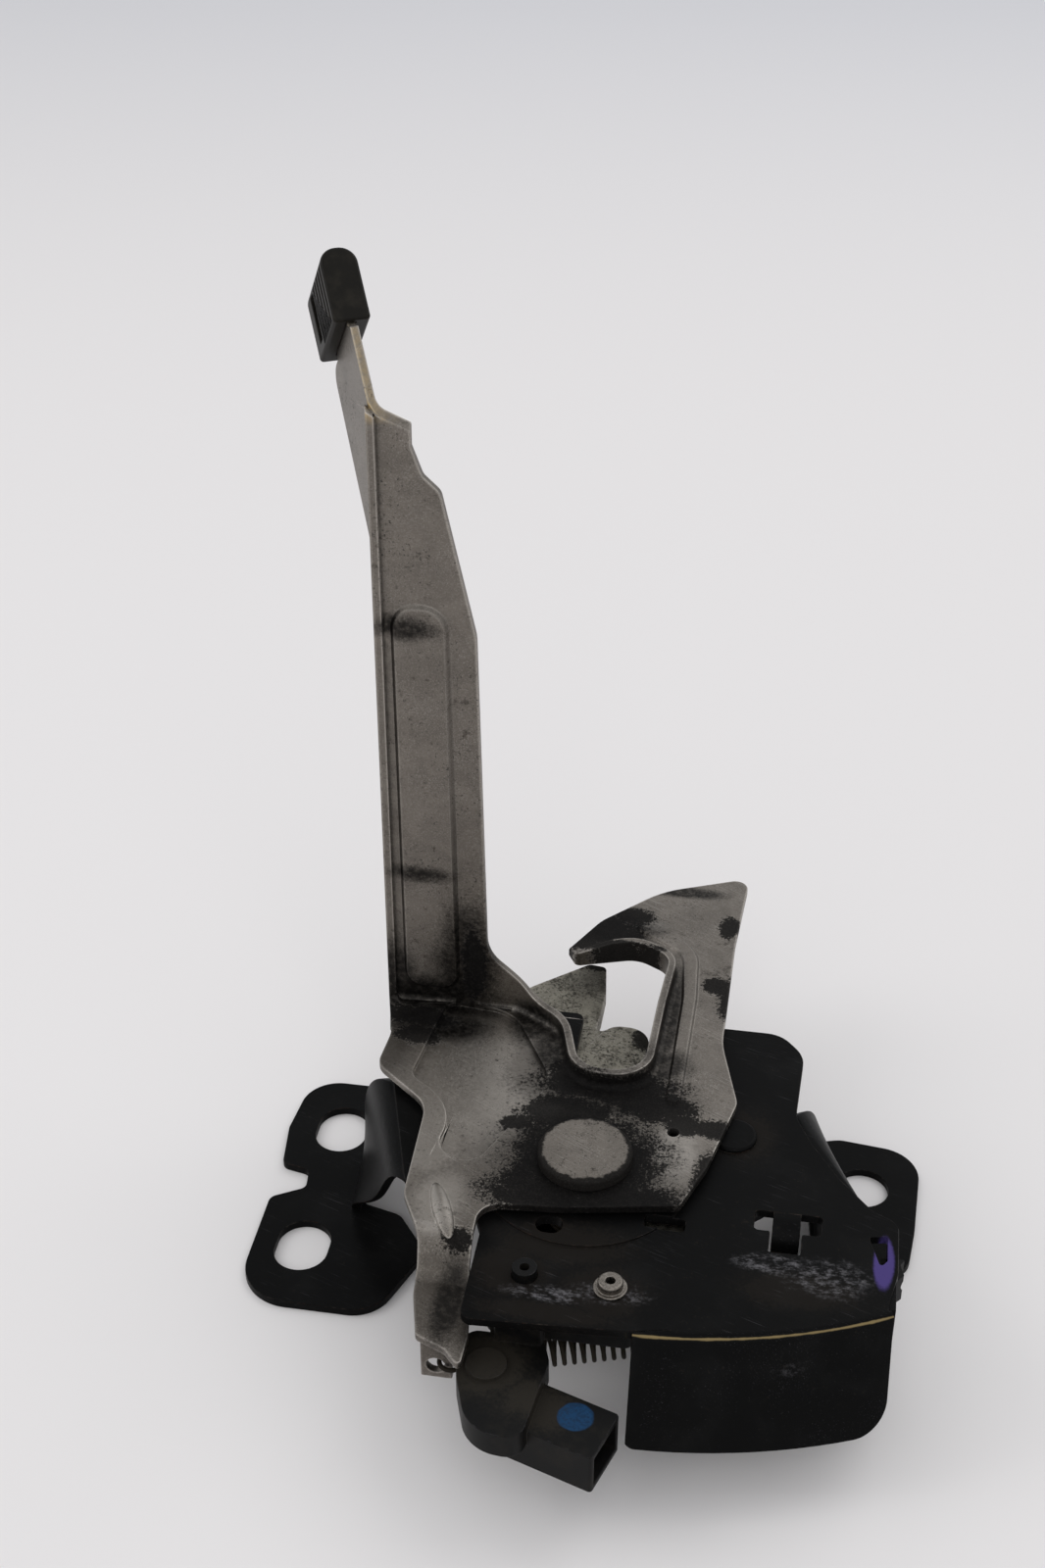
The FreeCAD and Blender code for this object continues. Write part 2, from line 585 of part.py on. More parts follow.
def lever_grip():
    """The plastic grip on the tip: a rounded cap with fine ribs and a window to the steel."""
    turn = math.radians(180 - amount("tip_turn"))
    rise = math.radians(amount("tip_rise"))
    heading = Vector(math.cos(turn), math.sin(turn), 0)
    length = heading * math.cos(rise) + Vector(0, 0, 1) * math.sin(rise)
    width = heading * math.sin(rise) - Vector(0, 0, 1) * math.cos(rise)
    normal = length.cross(width)
    turned_axes = Rotation(length, width, normal, "XYZ")
    inside = amount("lever_sheet") / 2
    start = Vector(amount("tip_bend"), amount("arm_face - lever_sheet"),
                   amount(LEVER_TOP + " + arm_height - 0.6")) - normal * inside
    body = add("PartDesign::Body", "lever_grip")
    profile = body.newObject("Sketcher::SketchObject", "grip_profile")
    profile.AttachmentSupport = (origin_plane(body, "XZ_Plane"), [""])
    profile.MapMode = "FlatFace"
    half = "grip_thickness / 2"
    end = "grip_start + grip_length"
    rounded(profile, [("grip_start", "0 - " + half, "0.8"), (end, "0 - " + half, "3.6"),
                      (end, half, "3.6"), ("grip_start", half, "0.8")])
    pad = body.newObject("PartDesign::Pad", "grip_pad")
    pad.Profile = profile
    bind(pad, "Length", "grip_width")
    pad.Reversed = True
    doc.recompute()
    ends = [edge for edge in range(1, len(pad.Shape.Edges) + 1)
            if abs(pad.Shape.Edges[edge - 1].BoundBox.YLength) < 1e-4]
    soft = body.newObject("PartDesign::Fillet", "grip_rounding")
    soft.Base = (pad, ["Edge%d" % edge for edge in ends])
    soft.Radius = 0.7
    socket = body.newObject("Sketcher::SketchObject", "grip_socket")
    socket.AttachmentSupport = (origin_plane(body, "XY_Plane"), [""])
    socket.MapMode = "FlatFace"
    rounded(socket, [("grip_start - 3", "1.2", "0"), ("grip_start + 13.3", "2.3", "1.6"),
                     ("grip_start + 13.3", "14.9", "1.6"), ("grip_start - 3", "17", "0")])
    pocket = body.newObject("PartDesign::Pocket", "grip_pocket")
    pocket.Profile = socket
    bind(pocket, "Length", "lever_sheet + seat_gap * 2")
    pocket.Midplane = True
    window = body.newObject("Sketcher::SketchObject", "grip_window")
    window.AttachmentSupport = (origin_plane(body, "XY_Plane"), [""])
    window.MapMode = "FlatFace"
    rounded(window, [("grip_start + 2.4", "13", "0.5"), ("grip_start + 12.6", "13", "0.5"),
                     ("grip_start + 12.6", "15.8", "0.5"), ("grip_start + 2.4", "15.8", "0.5")])
    opening = body.newObject("PartDesign::Pocket", "grip_opening")
    opening.Profile = window
    bind(opening, "Length", "grip_thickness")
    opening.Reversed = True
    grooves = body.newObject("Sketcher::SketchObject", "grip_groove")
    grooves.AttachmentSupport = (origin_plane(body, "XY_Plane"), [""])
    grooves.AttachmentOffset = Placement(Vector(0, 0, amount("grip_thickness / 2 - 0.35")), Rotation())
    bind(grooves, "AttachmentOffset.Base.z", "grip_thickness / 2 - 0.35")
    grooves.MapMode = "FlatFace"
    rounded(grooves, [("grip_start + 1", "1.6", "0"), ("grip_start + 13.2", "1.6", "0"),
                      ("grip_start + 13.2", "2.6", "0"), ("grip_start + 1", "2.6", "0")])
    groove = body.newObject("PartDesign::Pocket", "grip_groove_cut")
    groove.Profile = grooves
    groove.Length = 2
    groove.Reversed = True
    doc.recompute()
    rows = body.newObject("PartDesign::LinearPattern", "grip_ribs")
    rows.Originals = [groove]
    rows.Direction = (grooves, ["V_Axis"])
    rows.Length = 9.2
    rows.Occurrences = 5
    body.Tip = rows
    body.Placement = Placement(start, turned_axes)
    return node("lever_grip", body)


def catch():
    """The fork catch: a disc with a latching step and two fingers round the striker."""
    across, up = CATCH
    disc = cylinder("catch_disc", "catch_high_radius", CATCH_UNDER, CATCH_TOP, across, up)
    low_disc = cylinder("catch_low_disc", "catch_low_radius", CATCH_UNDER, CATCH_TOP, across, up)
    sector = extruded("catch_sector", outline("catch_sector", [
        ("0", "0", "0"), ("15.45", "-25.7", "0"), ("30", "-20", "0"), ("30", "24", "0")],
        across=across, up=up, level=CATCH_UNDER + " - 1"), "catch_sheet + 2")
    stepped = cut("catch_stepped", disc, cut("catch_step", sector, low_disc))
    fingers = extruded("catch_fingers", outline("catch_fingers", [
        ("12", "-8", "3"), ("20", "0", "5"), ("32", "8", "3"), ("33.2", "22.6", "5.4"),
        ("23", "22.8", "4.6"), ("19.2", "14.2", "1.2"), ("20.4", "26", "6"), ("20.4", "35", "6"),
        ("19.2", "44.4", "1.4"), ("15", "45", "2"), ("3", "34.6", "3"), ("-14", "17", "6"), ("-10", "-4", "4")],
        across=across, up=up, level=CATCH_UNDER), "catch_sheet")
    hole = cylinder("catch_bore", "rivet_radius + running_fit", CATCH_UNDER + " - 1",
                    CATCH_TOP + " + 1", across, up)
    eye = cylinder("catch_eye", "1", CATCH_UNDER + " - 1", CATCH_TOP + " + 1",
                   across + " - 11", up)
    shape = cut("catch_shape", fuse("catch_body", stepped, low_disc, fingers), hole, eye)
    return node("ratchet", refined("ratchet", shape))


def pawl():
    """The pawl turns on the main rivet: a nose under the catch and a release arm."""
    across, up = PIVOT
    hub = cylinder("pawl_hub", "9", CATCH_UNDER, CATCH_TOP, across, up)
    reach = "(catch_high_radius + 0.4)"
    tilt = -107.0
    nose = (math.cos(math.radians(tilt)), math.sin(math.radians(tilt)))
    way = (-nose[1], nose[0])
    start = ("catch_across - pivot_across + %s * (%.5f)" % (reach, nose[0]),
             "catch_up + pivot_down + %s * (%.5f)" % (reach, nose[1]))

    def corner(length, depth, rounding):
        return ("%s + (%.4f)" % (start[0], way[0] * length + nose[0] * depth),
                "%s + (%.4f)" % (start[1], way[1] * length + nose[1] * depth), rounding)

    width = amount("pawl_width")
    nose_arm = extruded("pawl_nose", outline("pawl_nose", [
        corner(0, 0, "0.5"), corner(0, width, "2"), corner(30, width + 1.5, "0"), corner(30, 0, "0")],
        across=across, up=up, level=CATCH_UNDER), "catch_sheet")
    release = extruded("pawl_release", outline("pawl_release", [
        ("-2", "-8.6", "0"), ("14", "-12.4", "9"), ("33", "-22.4", "3.6"), ("37", "-15", "3.6"),
        ("18", "-4.8", "9"), ("4", "7.8", "0")],
        across=across, up=up, level=CATCH_UNDER), "catch_sheet")
    hole = cylinder("pawl_bore", "rivet_radius + running_fit", CATCH_UNDER + " - 1",
                    CATCH_TOP + " + 1", across, up)
    cable_eye = cylinder("pawl_cable_eye", "2", CATCH_UNDER + " - 1", CATCH_TOP + " + 1",
                         across + " + 32.6", up + " - 17.6")
    shape = cut("pawl_shape", fuse("pawl_body", hub, nose_arm, release), hole, cable_eye)
    return node("pawl", refined("pawl", shape))


def back_plate():
    plate = prism("back_blank", [
        ("24", "8", "7"), ("30", "27", "6"), ("54.6", "27", "3"), ("55.4", "-1.5", "8"),
        ("78", "-1.5", "8"), ("78.6", "20", "4"), ("101", "14", "8"), ("106", "-10", "8"),
        ("84", "-31", "10"), ("62", "-36", "10"), ("45", "-29", "8"), ("27", "-4", "8")],
        BACK_UNDER, BACK_TOP)
    shape = cut("back_holed", plate,
                cylinder("back_pivot_hole", "rivet_radius", "0", BASE_UNDER, *PIVOT),
                cylinder("back_catch_hole", "rivet_radius", "0", BASE_UNDER, *CATCH),
                cylinder("back_post_hole", "rivet_radius * 0.8", "0", BASE_UNDER, *POST))
    return node("back_plate", shape)


def rivets():
    tail = BACK_UNDER + " - 2.4"
    turned("main_rivet", [
        ("0", tail, "0"), ("rivet_radius + 2", tail, "0.8"), ("rivet_radius + 2", BACK_UNDER, "0"),
        ("rivet_radius", BACK_UNDER, "0"), ("rivet_radius", LEVER_TOP + " + seat_gap", "0"),
        ("rivet_head_radius", LEVER_TOP + " + seat_gap", "0.3"),
        ("rivet_head_radius", LEVER_TOP + " + seat_gap + rivet_head_height", "1.2"),
        ("0", LEVER_TOP + " + seat_gap + rivet_head_height", "0")], *PIVOT)
    turned("catch_rivet", [
        ("0", tail, "0"), ("rivet_radius + 2", tail, "0.8"), ("rivet_radius + 2", BACK_UNDER, "0"),
        ("rivet_radius", BACK_UNDER, "0"), ("rivet_radius", BASE_TOP, "0"),
        ("rivet_radius + 1.6", BASE_TOP, "0"), ("rivet_radius + 1.6", BASE_TOP + " + 0.5", "0.3"),
        ("0", BASE_TOP + " + 0.5", "0")], *CATCH)
    post = "(rivet_radius * 0.8)"
    turned("post_rivet", [
        ("0", tail, "0"), (post + " + 2", tail, "0.8"), (post + " + 2", BACK_UNDER, "0"),
        (post, BACK_UNDER, "0"), (post, BASE_TOP, "0"), (post + " + 1.2", BASE_TOP, "0"),
        (post + " + 1.2", BASE_TOP + " + 1.1", "0.8"), ("0", BASE_TOP + " + 1.1", "0")], *POST)


def ring(name, inner, outer, low, high, place_of):
    """A washer or a sleeve on a rivet."""
    return turned(name, [(inner, low, "0"), (outer, low, "0.15"), (outer, high, "0.15"), (inner, high, "0")],
                  *place_of)


def spacers():
    bore = "rivet_radius + running_fit"
    ring("lever_washer", bore, "12", "base_rise + pad_step", LEVER_UNDER + " - seat_gap", PIVOT)
    ring("pawl_washer", bore, "8", CATCH_TOP + " + seat_gap", BASE_UNDER, PIVOT)
    ring("catch_washer", bore, "8", CATCH_TOP + " + seat_gap", BASE_UNDER, CATCH)
    ring("pawl_sleeve", bore, "sleeve_radius", BACK_TOP, CATCH_UNDER + " - seat_gap", PIVOT)
    ring("catch_sleeve", bore, "sleeve_radius", BACK_TOP, CATCH_UNDER + " - seat_gap", CATCH)
    ring("post_tube", "rivet_radius * 0.8 + running_fit", "rivet_radius + 0.8", BACK_TOP, BASE_UNDER, POST)


def coil(radius, wire, pitch, turns, leg_length=0.0):
    """A helix of round wire along Z from the origin, with tangent legs where it has any."""
    helix = Part.makeHelix(pitch, pitch * turns, radius)
    start = Vector(radius, 0, 0)
    way = Vector(0, 2 * math.pi * radius, pitch).normalize()
    edges = list(helix.Edges)
    if leg_length:
        angle = 2 * math.pi * turns
        end = Vector(radius * math.cos(angle), radius * math.sin(angle), pitch * turns)
        last = Rotation(Vector(0, 0, 1), math.degrees(angle)).multVec(way)
        tail = start - way * leg_length
        edges = ([Part.LineSegment(tail, start).toShape()] + edges
                 + [Part.LineSegment(end, end + last * leg_length).toShape()])
        start = tail
    profile = Part.Wire([Part.Circle(start, way, wire / 2).toShape()])
    return Part.Wire(edges).makePipeShell([profile], True, True)


def feature(name, shape, spot, turn=None):
    thing = add("Part::Feature", name)
    thing.Shape = shape
    thing.Placement = Placement(spot, turn or Rotation())
    return node(name, thing)


def springs():
    wire = amount("spring_wire")
    radius = amount("spring_radius")
    level = amount("spring_level")
    slack = 0.6
    left = Vector(39.6 + slack, -60.3, level)
    right = Vector(108.3 - slack, -39.0, level)
    way = (right - left).normalize()
    loop = radius * 0.86
    start = left + way * (loop * 2 + 0.2)
    length = (right - left).Length - loop * 4 - 0.4
    pitch = amount("spring_pitch")
    turns = int(length / pitch)
    solid = coil(radius, wire, length / turns, turns)
    turn = Rotation(Vector(0, 0, 1), way)
    solid.Placement = Placement(start, turn)
    whole = solid
    for spot, sign, middle in ((start, -1, left + way * loop),
                               (start + way * length, 1, right - way * loop)):
        inner = spot + turn.multVec(Vector(radius, 0, 0))
        outer = spot + way * (sign * 0.2)
        link = Part.makeCylinder(wire * 0.48, (outer - inner).Length, inner, outer - inner)
        bends = [Part.makeSphere(wire * 0.53, inner), Part.makeSphere(wire * 0.56, outer)]
        hook = Part.makeTorus(loop, wire / 2, middle, Vector(0, 0, 1)).fuse([link] + bends)
        whole = whole.fuse(hook)
    feature("lever_spring", whole, Vector(0, 0, 0))
    for name, place_of, hand in (("pawl_spring", PIVOT, -1), ("catch_spring", CATCH, 1)):
        gauge = 1.4
        inner = amount("sleeve_radius") + 1.1
        low = amount(BACK_TOP) + gauge / 2 + 0.4
        rise = 1.5
        shape = coil(inner, gauge, rise, 2.5, leg_length=8.0)
        spot = Vector(amount(place_of[0]), amount(place_of[1]), low)
        feature(name, shape, spot, Rotation(Vector(0, 0, 1), 200 if hand < 0 else 60))


def switch():
    """The switch hangs under the pad: a round-nosed body with a sloping plug socket."""
    top = "switch_top"
    low = "(switch_top - switch_thickness)"
    body = prism("switch_body", [
        ("46", "-60.2", "3"), ("46", "-72", "9"), ("50.6", "-85.6", "9"), ("61.5", "-86.4", "4"),
        ("64", "-66", "3"), ("62", "-60.2", "3")], low, top)
    boss = cylinder("switch_boss", "4.2", top, top + " + 1.1", "51.8", "-69.4")
    hanger = prism("switch_hanger", [
        ("50", "-60.4", "2"), ("80", "-60.4", "2"), ("80", "-47.6", "3"), ("50", "-47.6", "3")],
        top + " - 0.01", BASE_UNDER)
    neck = prism("switch_neck", [
        ("52", "-62.4", "1"), ("62", "-62.4", "1"), ("62", "-59.6", "1"), ("52", "-59.6", "1")],
        top + " - 3", BASE_UNDER + " - 2")
    peg = cylinder("switch_peg", "pin_radius", BASE_UNDER + " - 1", "base_rise + 2.2", "56.7", "-52.6")
    peg_hole = cylinder("switch_peg_hole", "1", "base_rise - 4", "base_rise + 4", "56.7", "-52.6")
    slope = Rotation(Vector(0, 0, 1), -18.5)
    socket_low = "24 - socket_height"
    spot = ("57.6", "-67.6")

    def tube(name, left, right, near, far):
        return outline(name, [(left, near, "0.8"), (right, near, "0.8"), (right, far, "0.8"),
                              (left, far, "0.8")], across=spot[0], up=spot[1], level=socket_low, turn=slope)

    outer = extruded("socket_outer", tube("socket_outer", "0", "socket_length + 2", "0 - socket_width", "0"),
                     "socket_height")
    hollow = outline("socket_hollow", [
        ("7", "socket_wall - socket_width", "0.6"), ("socket_length + 4", "socket_wall - socket_width", "0.6"),
        ("socket_length + 4", "0 - socket_wall", "0.6"), ("7", "0 - socket_wall", "0.6")],
        across=spot[0], up=spot[1], level=socket_low + " + socket_wall", turn=slope)
    hollow = extruded("socket_hollow", hollow, "socket_height - socket_wall * 2")
    plunger_bore = add("Part::Cylinder", "plunger_bore")
    bind(plunger_bore, "Radius", "plunger_radius + running_fit")
    bind(plunger_bore, "Height", "8")
    place(plunger_bore, "44", "-63.4", top + " - 3.2", Rotation(Vector(0, 1, 0), 90))
    rivet_hole = cylinder("switch_rivet_hole", "1.9", "20", "40", "74.4", "-53.6")
    shell = cut("switch_shell", fuse("switch_block", body, boss, hanger, neck, peg, outer),
                hollow, plunger_bore, rivet_hole, peg_hole)
    node("switch_housing", refined("switch_housing", shell))
    turned_bits()
    for number, offset in enumerate(("-0.36", "-0.66"), start=1):
        blade = extruded("terminal_%d" % number, outline("terminal_%d" % number, [
            ("7", "socket_width * (%s) - 0.4" % offset, "0"), ("17", "socket_width * (%s) - 0.4" % offset, "0.3"),
            ("17", "socket_width * (%s) + 0.4" % offset, "0.3"), ("7", "socket_width * (%s) + 0.4" % offset, "0")],
            across=spot[0], up=spot[1], level="24 - socket_height / 2 - 1.2", turn=slope), "2.4")
        node("switch_terminal_%d" % number, blade)
    plunger = add("Part::Cylinder", "switch_plunger")
    bind(plunger, "Radius", "plunger_radius")
    bind(plunger, "Height", "5.6")
    place(plunger, "43.5", "-63.4", top + " - 3.2", Rotation(Vector(0, 1, 0), 90))
    return node("switch_plunger", plunger)


def turned_bits():
    turned("switch_rivet", [
        ("1", BASE_UNDER + " - 8.4", "0"), ("3", BASE_UNDER + " - 8.4", "0.4"),
        ("3", "switch_top - 0.02", "0"), ("1.9 - 0.01", "switch_top - 0.02", "0"),
        ("1.9 - 0.01", BASE_TOP, "0"), ("pin_radius + 0.9", BASE_TOP, "0.2"),
        ("pin_radius + 0.9", BASE_TOP + " + 0.6", "0.2"), ("pin_radius", BASE_TOP + " + 0.6", "0.2"),
        ("pin_radius", BASE_TOP + " + 2.4", "0.5"), ("1", BASE_TOP + " + 2.4", "0.2")], "74.4", "-53.6")


def cable_grommet():
    """What is left of the cable's plastic grommet in the window of the side wall."""
    block = prism("grommet_block", [
        ("128.2", "-36.2", "0.5"), ("131.7", "-36.2", "0.5"), ("133.2", "-34.4", "0.4"),
        ("132.4", "-31.4", "0.3"), ("133.4", "-29.9", "0.3"), ("128.2", "-29.9", "0.5")], "23.3", "30")
    bore = add("Part::Cylinder", "grommet_bore")
    bind(bore, "Radius", "1.9")
    bind(bore, "Height", "12")
    place(bore, "125", "-33", "27.2", Rotation(Vector(0, 1, 0), 90))
    return node("cable_grommet", cut("cable_grommet", block, bore))


base_plate()
back_plate()
rivets()
spacers()
catch()
pawl()
springs()
secondary_lever()
lever_grip()
switch()
cable_grommet()
doc.recompute()

faults = [thing.Name for thing in doc.Objects if "Invalid" in thing.State or "Error" in thing.State]
for name, thing in NODES:
    if thing.Shape.isNull() or not thing.Shape.isValid() or not thing.Shape.Solids:
        faults.append(name)
if faults:
    raise RuntimeError("These did not build: " + ", ".join(faults))

os.makedirs("parts", exist_ok=True)
for name, thing in NODES:
    thing.Shape.exportStep("parts/%s.step" % name)
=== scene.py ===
"""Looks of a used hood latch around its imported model: worn steel, grease, scuffed paint and plastic."""

import math

import bmesh
import bpy
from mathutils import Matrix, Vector


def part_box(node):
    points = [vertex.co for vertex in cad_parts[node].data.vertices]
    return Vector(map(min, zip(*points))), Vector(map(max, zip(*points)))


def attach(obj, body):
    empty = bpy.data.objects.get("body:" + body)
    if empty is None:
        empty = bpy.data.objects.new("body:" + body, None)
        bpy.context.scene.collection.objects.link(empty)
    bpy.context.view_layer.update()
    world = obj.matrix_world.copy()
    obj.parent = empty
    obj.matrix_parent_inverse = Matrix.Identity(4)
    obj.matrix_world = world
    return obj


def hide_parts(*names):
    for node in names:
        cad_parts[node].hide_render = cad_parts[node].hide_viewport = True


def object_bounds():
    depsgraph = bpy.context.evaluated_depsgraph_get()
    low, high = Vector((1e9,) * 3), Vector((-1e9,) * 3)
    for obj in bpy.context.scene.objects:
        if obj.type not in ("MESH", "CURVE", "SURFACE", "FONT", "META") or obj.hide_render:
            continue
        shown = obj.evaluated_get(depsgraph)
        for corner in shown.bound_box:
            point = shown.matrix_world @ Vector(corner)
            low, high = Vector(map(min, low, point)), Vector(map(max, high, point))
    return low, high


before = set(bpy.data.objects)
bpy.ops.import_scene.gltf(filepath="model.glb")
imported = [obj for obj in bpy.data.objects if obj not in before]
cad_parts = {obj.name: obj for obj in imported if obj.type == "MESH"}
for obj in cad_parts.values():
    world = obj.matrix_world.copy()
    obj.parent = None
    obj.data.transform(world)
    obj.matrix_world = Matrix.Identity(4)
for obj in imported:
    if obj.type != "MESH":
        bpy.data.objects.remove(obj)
cad_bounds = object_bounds()

bl_info = {
    "name": "Hood latch finishes",
    "version": (1, 0, 0),
    "blender": (4, 5, 0),
    "location": "View3D > Sidebar > Hood latch",
    "description": "Rounded edges and worn finishes for the pieces of a hood latch",
    "category": "Object",
}

MM = 0.001

# The camera stands where the photograph's perspective puts it. Angles are in degrees.
CAMERA_PLACE = (0.1083, -0.3633, 0.3620)
CAMERA_HEADING = -9.5
CAMERA_DOWN = 33.3
CAMERA_LENS = 50.0
CAMERA_SENSOR = 36.0
CAMERA_NEAR = 0.01

# Each soft square lamp has a name, a place and a width in metres, and a power in watts.
LAMPS = (("key lamp", (0.65, 0.70, 1.25), 1.0, 3.5), ("side lamp", (-0.9, -0.1, 0.8), 0.6, 2.0),
         ("front lamp", (0.35, -1.1, 1.1), 1.0, 3.0))
WORLD_COLOUR = (0.70, 0.71, 0.73, 1.0)

# The floor lies just under the object, and fades to its darker, bluer far colour between these distances
# in metres: painted shade where the light falls off.
FLOOR_GAP = 0.02 * MM
FLOOR_SHADE_FADE = (0.4, 1.7)
FLOOR_ROUGHNESS = 0.9
FLOOR_GLOSS = 0.1
LOW_GLOSS = 0.05
PLASTIC_GLOSS = 0.13


def display(code):
    """A display colour such as "77716a" as the linear values that a shader wants."""
    shades = [int(code[i:i + 2], 16) / 255 for i in (0, 2, 4)]
    linear = [s / 12.92 if s <= 0.04045 else ((s + 0.055) / 1.055) ** 2.4 for s in shades]
    return (*linear, 1.0)


def length(name, text, default):
    """A size in metres that the panel shows."""
    return bpy.props.FloatProperty(name=name, description=text, default=default, min=0.0, unit="LENGTH")


def colour(name, text, code):
    """A colour that the panel shows."""
    return bpy.props.FloatVectorProperty(name=name, description=text, default=display(code), size=4,
                                         subtype="COLOR", min=0.0, max=1.0)


class LatchSizes(bpy.types.PropertyGroup):
    """Sizes of what the looks add to the model."""
    sheet_edge: length("Sheet edge", "Rounding of the stamped sheets' cut edges", 0.22 * MM)
    drawn_edge: length("Drawn edge", "Rounding of the base plate's top edge above its walls", 1.2 * MM)
    strip_bend: length("Strip bend", "Outer radius of the strip in the T-shaped hole", 6.5 * MM)
    plastic_edge: length("Plastic edge", "Rounding of the moulded edges", 0.25 * MM)
    bend_inside: length("Inside of bends", "Radius inside the lever's lip and arm folds", 1.5 * MM)
    recess: length("Recess", "Extra depth of the floor of the lever's pressed recess", 0.45 * MM)
    merge: length("Merge distance", "Points of a node nearer than this are one point", 0.002 * MM)
    floor_width: length("Floor", "Side of the pale floor", 9.0)


class LatchColours(bpy.types.PropertyGroup):
    """Colours of the finishes."""
    steel: colour("Steel", "Worn steel of the lever", "77716a")
    bare: colour("Bare steel", "Rubbed and scratched steel", "c9c3bb")
    gold: colour("Cut edge", "Tarnished cut edge of the arm's tip", "c4ab7c")
    fold: colour("Rubbed fold", "Rubbed golden line along the skirt's fold", "a08c62")
    grease: colour("Grease", "Thick black grease", "0b0a0a")
    soot: colour("Soot", "Thin dark film round the grease", "292725")
    dirt: colour("Dirt", "Brown dried dirt", "2f2923")
    rust: colour("Rust", "Rust in chipped places", "5a3a24")
    paint: colour("Paint", "Black paint of the base plate", "0a0a0a")
    wire: colour("Springs", "Dark wire of the springs", "27231d")
    # The scuff colour also paints the sheen of a dent in the skirt: a painted highlight.
    scuff_and_sheen: colour("Scuff", "Pale scuffs on paint", "8d8b8f")
    zinc: colour("Zinc", "Dull yellow zinc of the catch", "8b877b")
    grip: colour("Grip", "Black plastic of the grip", "13110d")
    dust: colour("Dust", "Brownish film on plastic", "38332b")
    switch: colour("Switch", "Black plastic of the switch", "0b0b0b")
    nylon: colour("Washers", "Plastic washers", "2b2a27")
    brass: colour("Contacts", "Tinned brass contacts", "b6a67c")
    blue: colour("Blue mark", "Paint dot on the switch", "163a5c")
    purple: colour("Purple mark", "Paint mark beside the window", "4b3f78")
    floor: colour("Floor", "Pale floor near the object", "eae7e6")
    # The far colour is painted shade: the floor gets darker and bluer where the light falls off.
    far: colour("Far floor", "Pale floor far behind the object", "d6d7dc")


def sizes():
    """The sizes that the panel shows."""
    return bpy.context.scene.latch_sizes


def colours():
    """The colours that the panel shows."""
    return bpy.context.scene.latch_colours


def put(tree, socket, value):
    """Joins a socket to another, or sets its own value."""
    if isinstance(value, bpy.types.NodeSocket):
        tree.links.new(value, socket)
    else:
        socket.default_value = value


def place(tree, kind, inputs=None, **settings):
    """A new node with its inputs and settings."""
    made = tree.nodes.new(kind)
    for name, value in settings.items():
        setattr(made, name, value)
    for name, value in (inputs or {}).items():
        put(tree, made.inputs[name], value)
    return made


def calc(tree, operation, *values):
    """A Math node's result."""
    made = place(tree, "ShaderNodeMath", operation=operation)
    for socket, value in zip(made.inputs, values):
        put(tree, socket, value)
    return made.outputs[0]


def most(tree, masks):
    """The largest of several masks."""
    total = masks[0]
    for mask in masks[1:]:
        total = calc(tree, "MAXIMUM", total, mask)
    return total


def vector(tree, operation, first, second):
    """A Vector Math node."""
    made = place(tree, "ShaderNodeVectorMath", operation=operation)
    put(tree, made.inputs[0], first)
    put(tree, made.inputs[1], second)
    return made


def fade(tree, value, low, high, start=0.0, end=1.0):
    """The start value below low, the end value above high, and a smooth step between."""
    made = place(tree, "ShaderNodeMapRange", interpolation_type="SMOOTHSTEP")
    for name, number in (("Value", value), ("From Min", low), ("From Max", high),
                         ("To Min", start), ("To Max", end)):
        put(tree, made.inputs[name], number)
    return made.outputs["Result"]


def noise(tree, where, scale, detail, roughness=0.55, distortion=0.0):
    """A noise pattern; on millimetres, its scale is in waves a millimetre."""
    made = place(tree, "ShaderNodeTexNoise", {"Vector": where, "Scale": scale, "Detail": detail,
                                              "Roughness": roughness, "Distortion": distortion})
    return made.outputs["Fac"]


def blend(tree, amount, first, second):
    """The first colour where amount is 0, and the second where it is 1."""
    made = place(tree, "ShaderNodeMix", data_type="RGBA")
    put(tree, made.inputs[0], amount)
    put(tree, made.inputs[6], first)
    put(tree, made.inputs[7], second)
    return made.outputs[2]


def millimetres(tree):
    """Where a point lies in the object's frame, in millimetres."""
    spot = place(tree, "ShaderNodeTexCoord")
    return vector(tree, "MULTIPLY", spot.outputs["Object"], (1000, 1000, 1000)).outputs[0]


def new_group(name, takes, gives):
    """An empty node group with named inputs and outputs."""
    tree = bpy.data.node_groups.new(name, "ShaderNodeTree")
    for label, kind, default in takes:
        made = tree.interface.new_socket(name=label, in_out="INPUT", socket_type=kind)
        made.default_value = default
    for label in gives:
        tree.interface.new_socket(name=label, in_out="OUTPUT", socket_type="NodeSocketFloat")
    return tree, tree.nodes.new("NodeGroupInput").outputs, tree.nodes.new("NodeGroupOutput").inputs


def stain_group():
    """A ragged spot, such as grease, dirt or a rubbed patch, with a softer film round it."""
    tree, given, result = new_group(
        "ragged spot",
        (("Place", "NodeSocketVector", (0, 0, 0)), ("Reach", "NodeSocketVector", (5, 5, 5)),
         ("Push", "NodeSocketFloat", 0.0)), ("Mask", "Film"))
    away = vector(tree, "SUBTRACT", millimetres(tree), given["Place"]).outputs[0]
    shrunk = vector(tree, "DIVIDE", away, given["Reach"])
    distance = vector(tree, "LENGTH", shrunk.outputs[0], (0, 0, 0)).outputs["Value"]
    pushed = calc(tree, "ADD", distance, given["Push"])
    put(tree, result["Mask"], fade(tree, pushed, 0.78, 1.02, 1.0, 0.0))
    put(tree, result["Film"], fade(tree, pushed, 0.60, 1.55, 1.0, 0.0))
    return tree


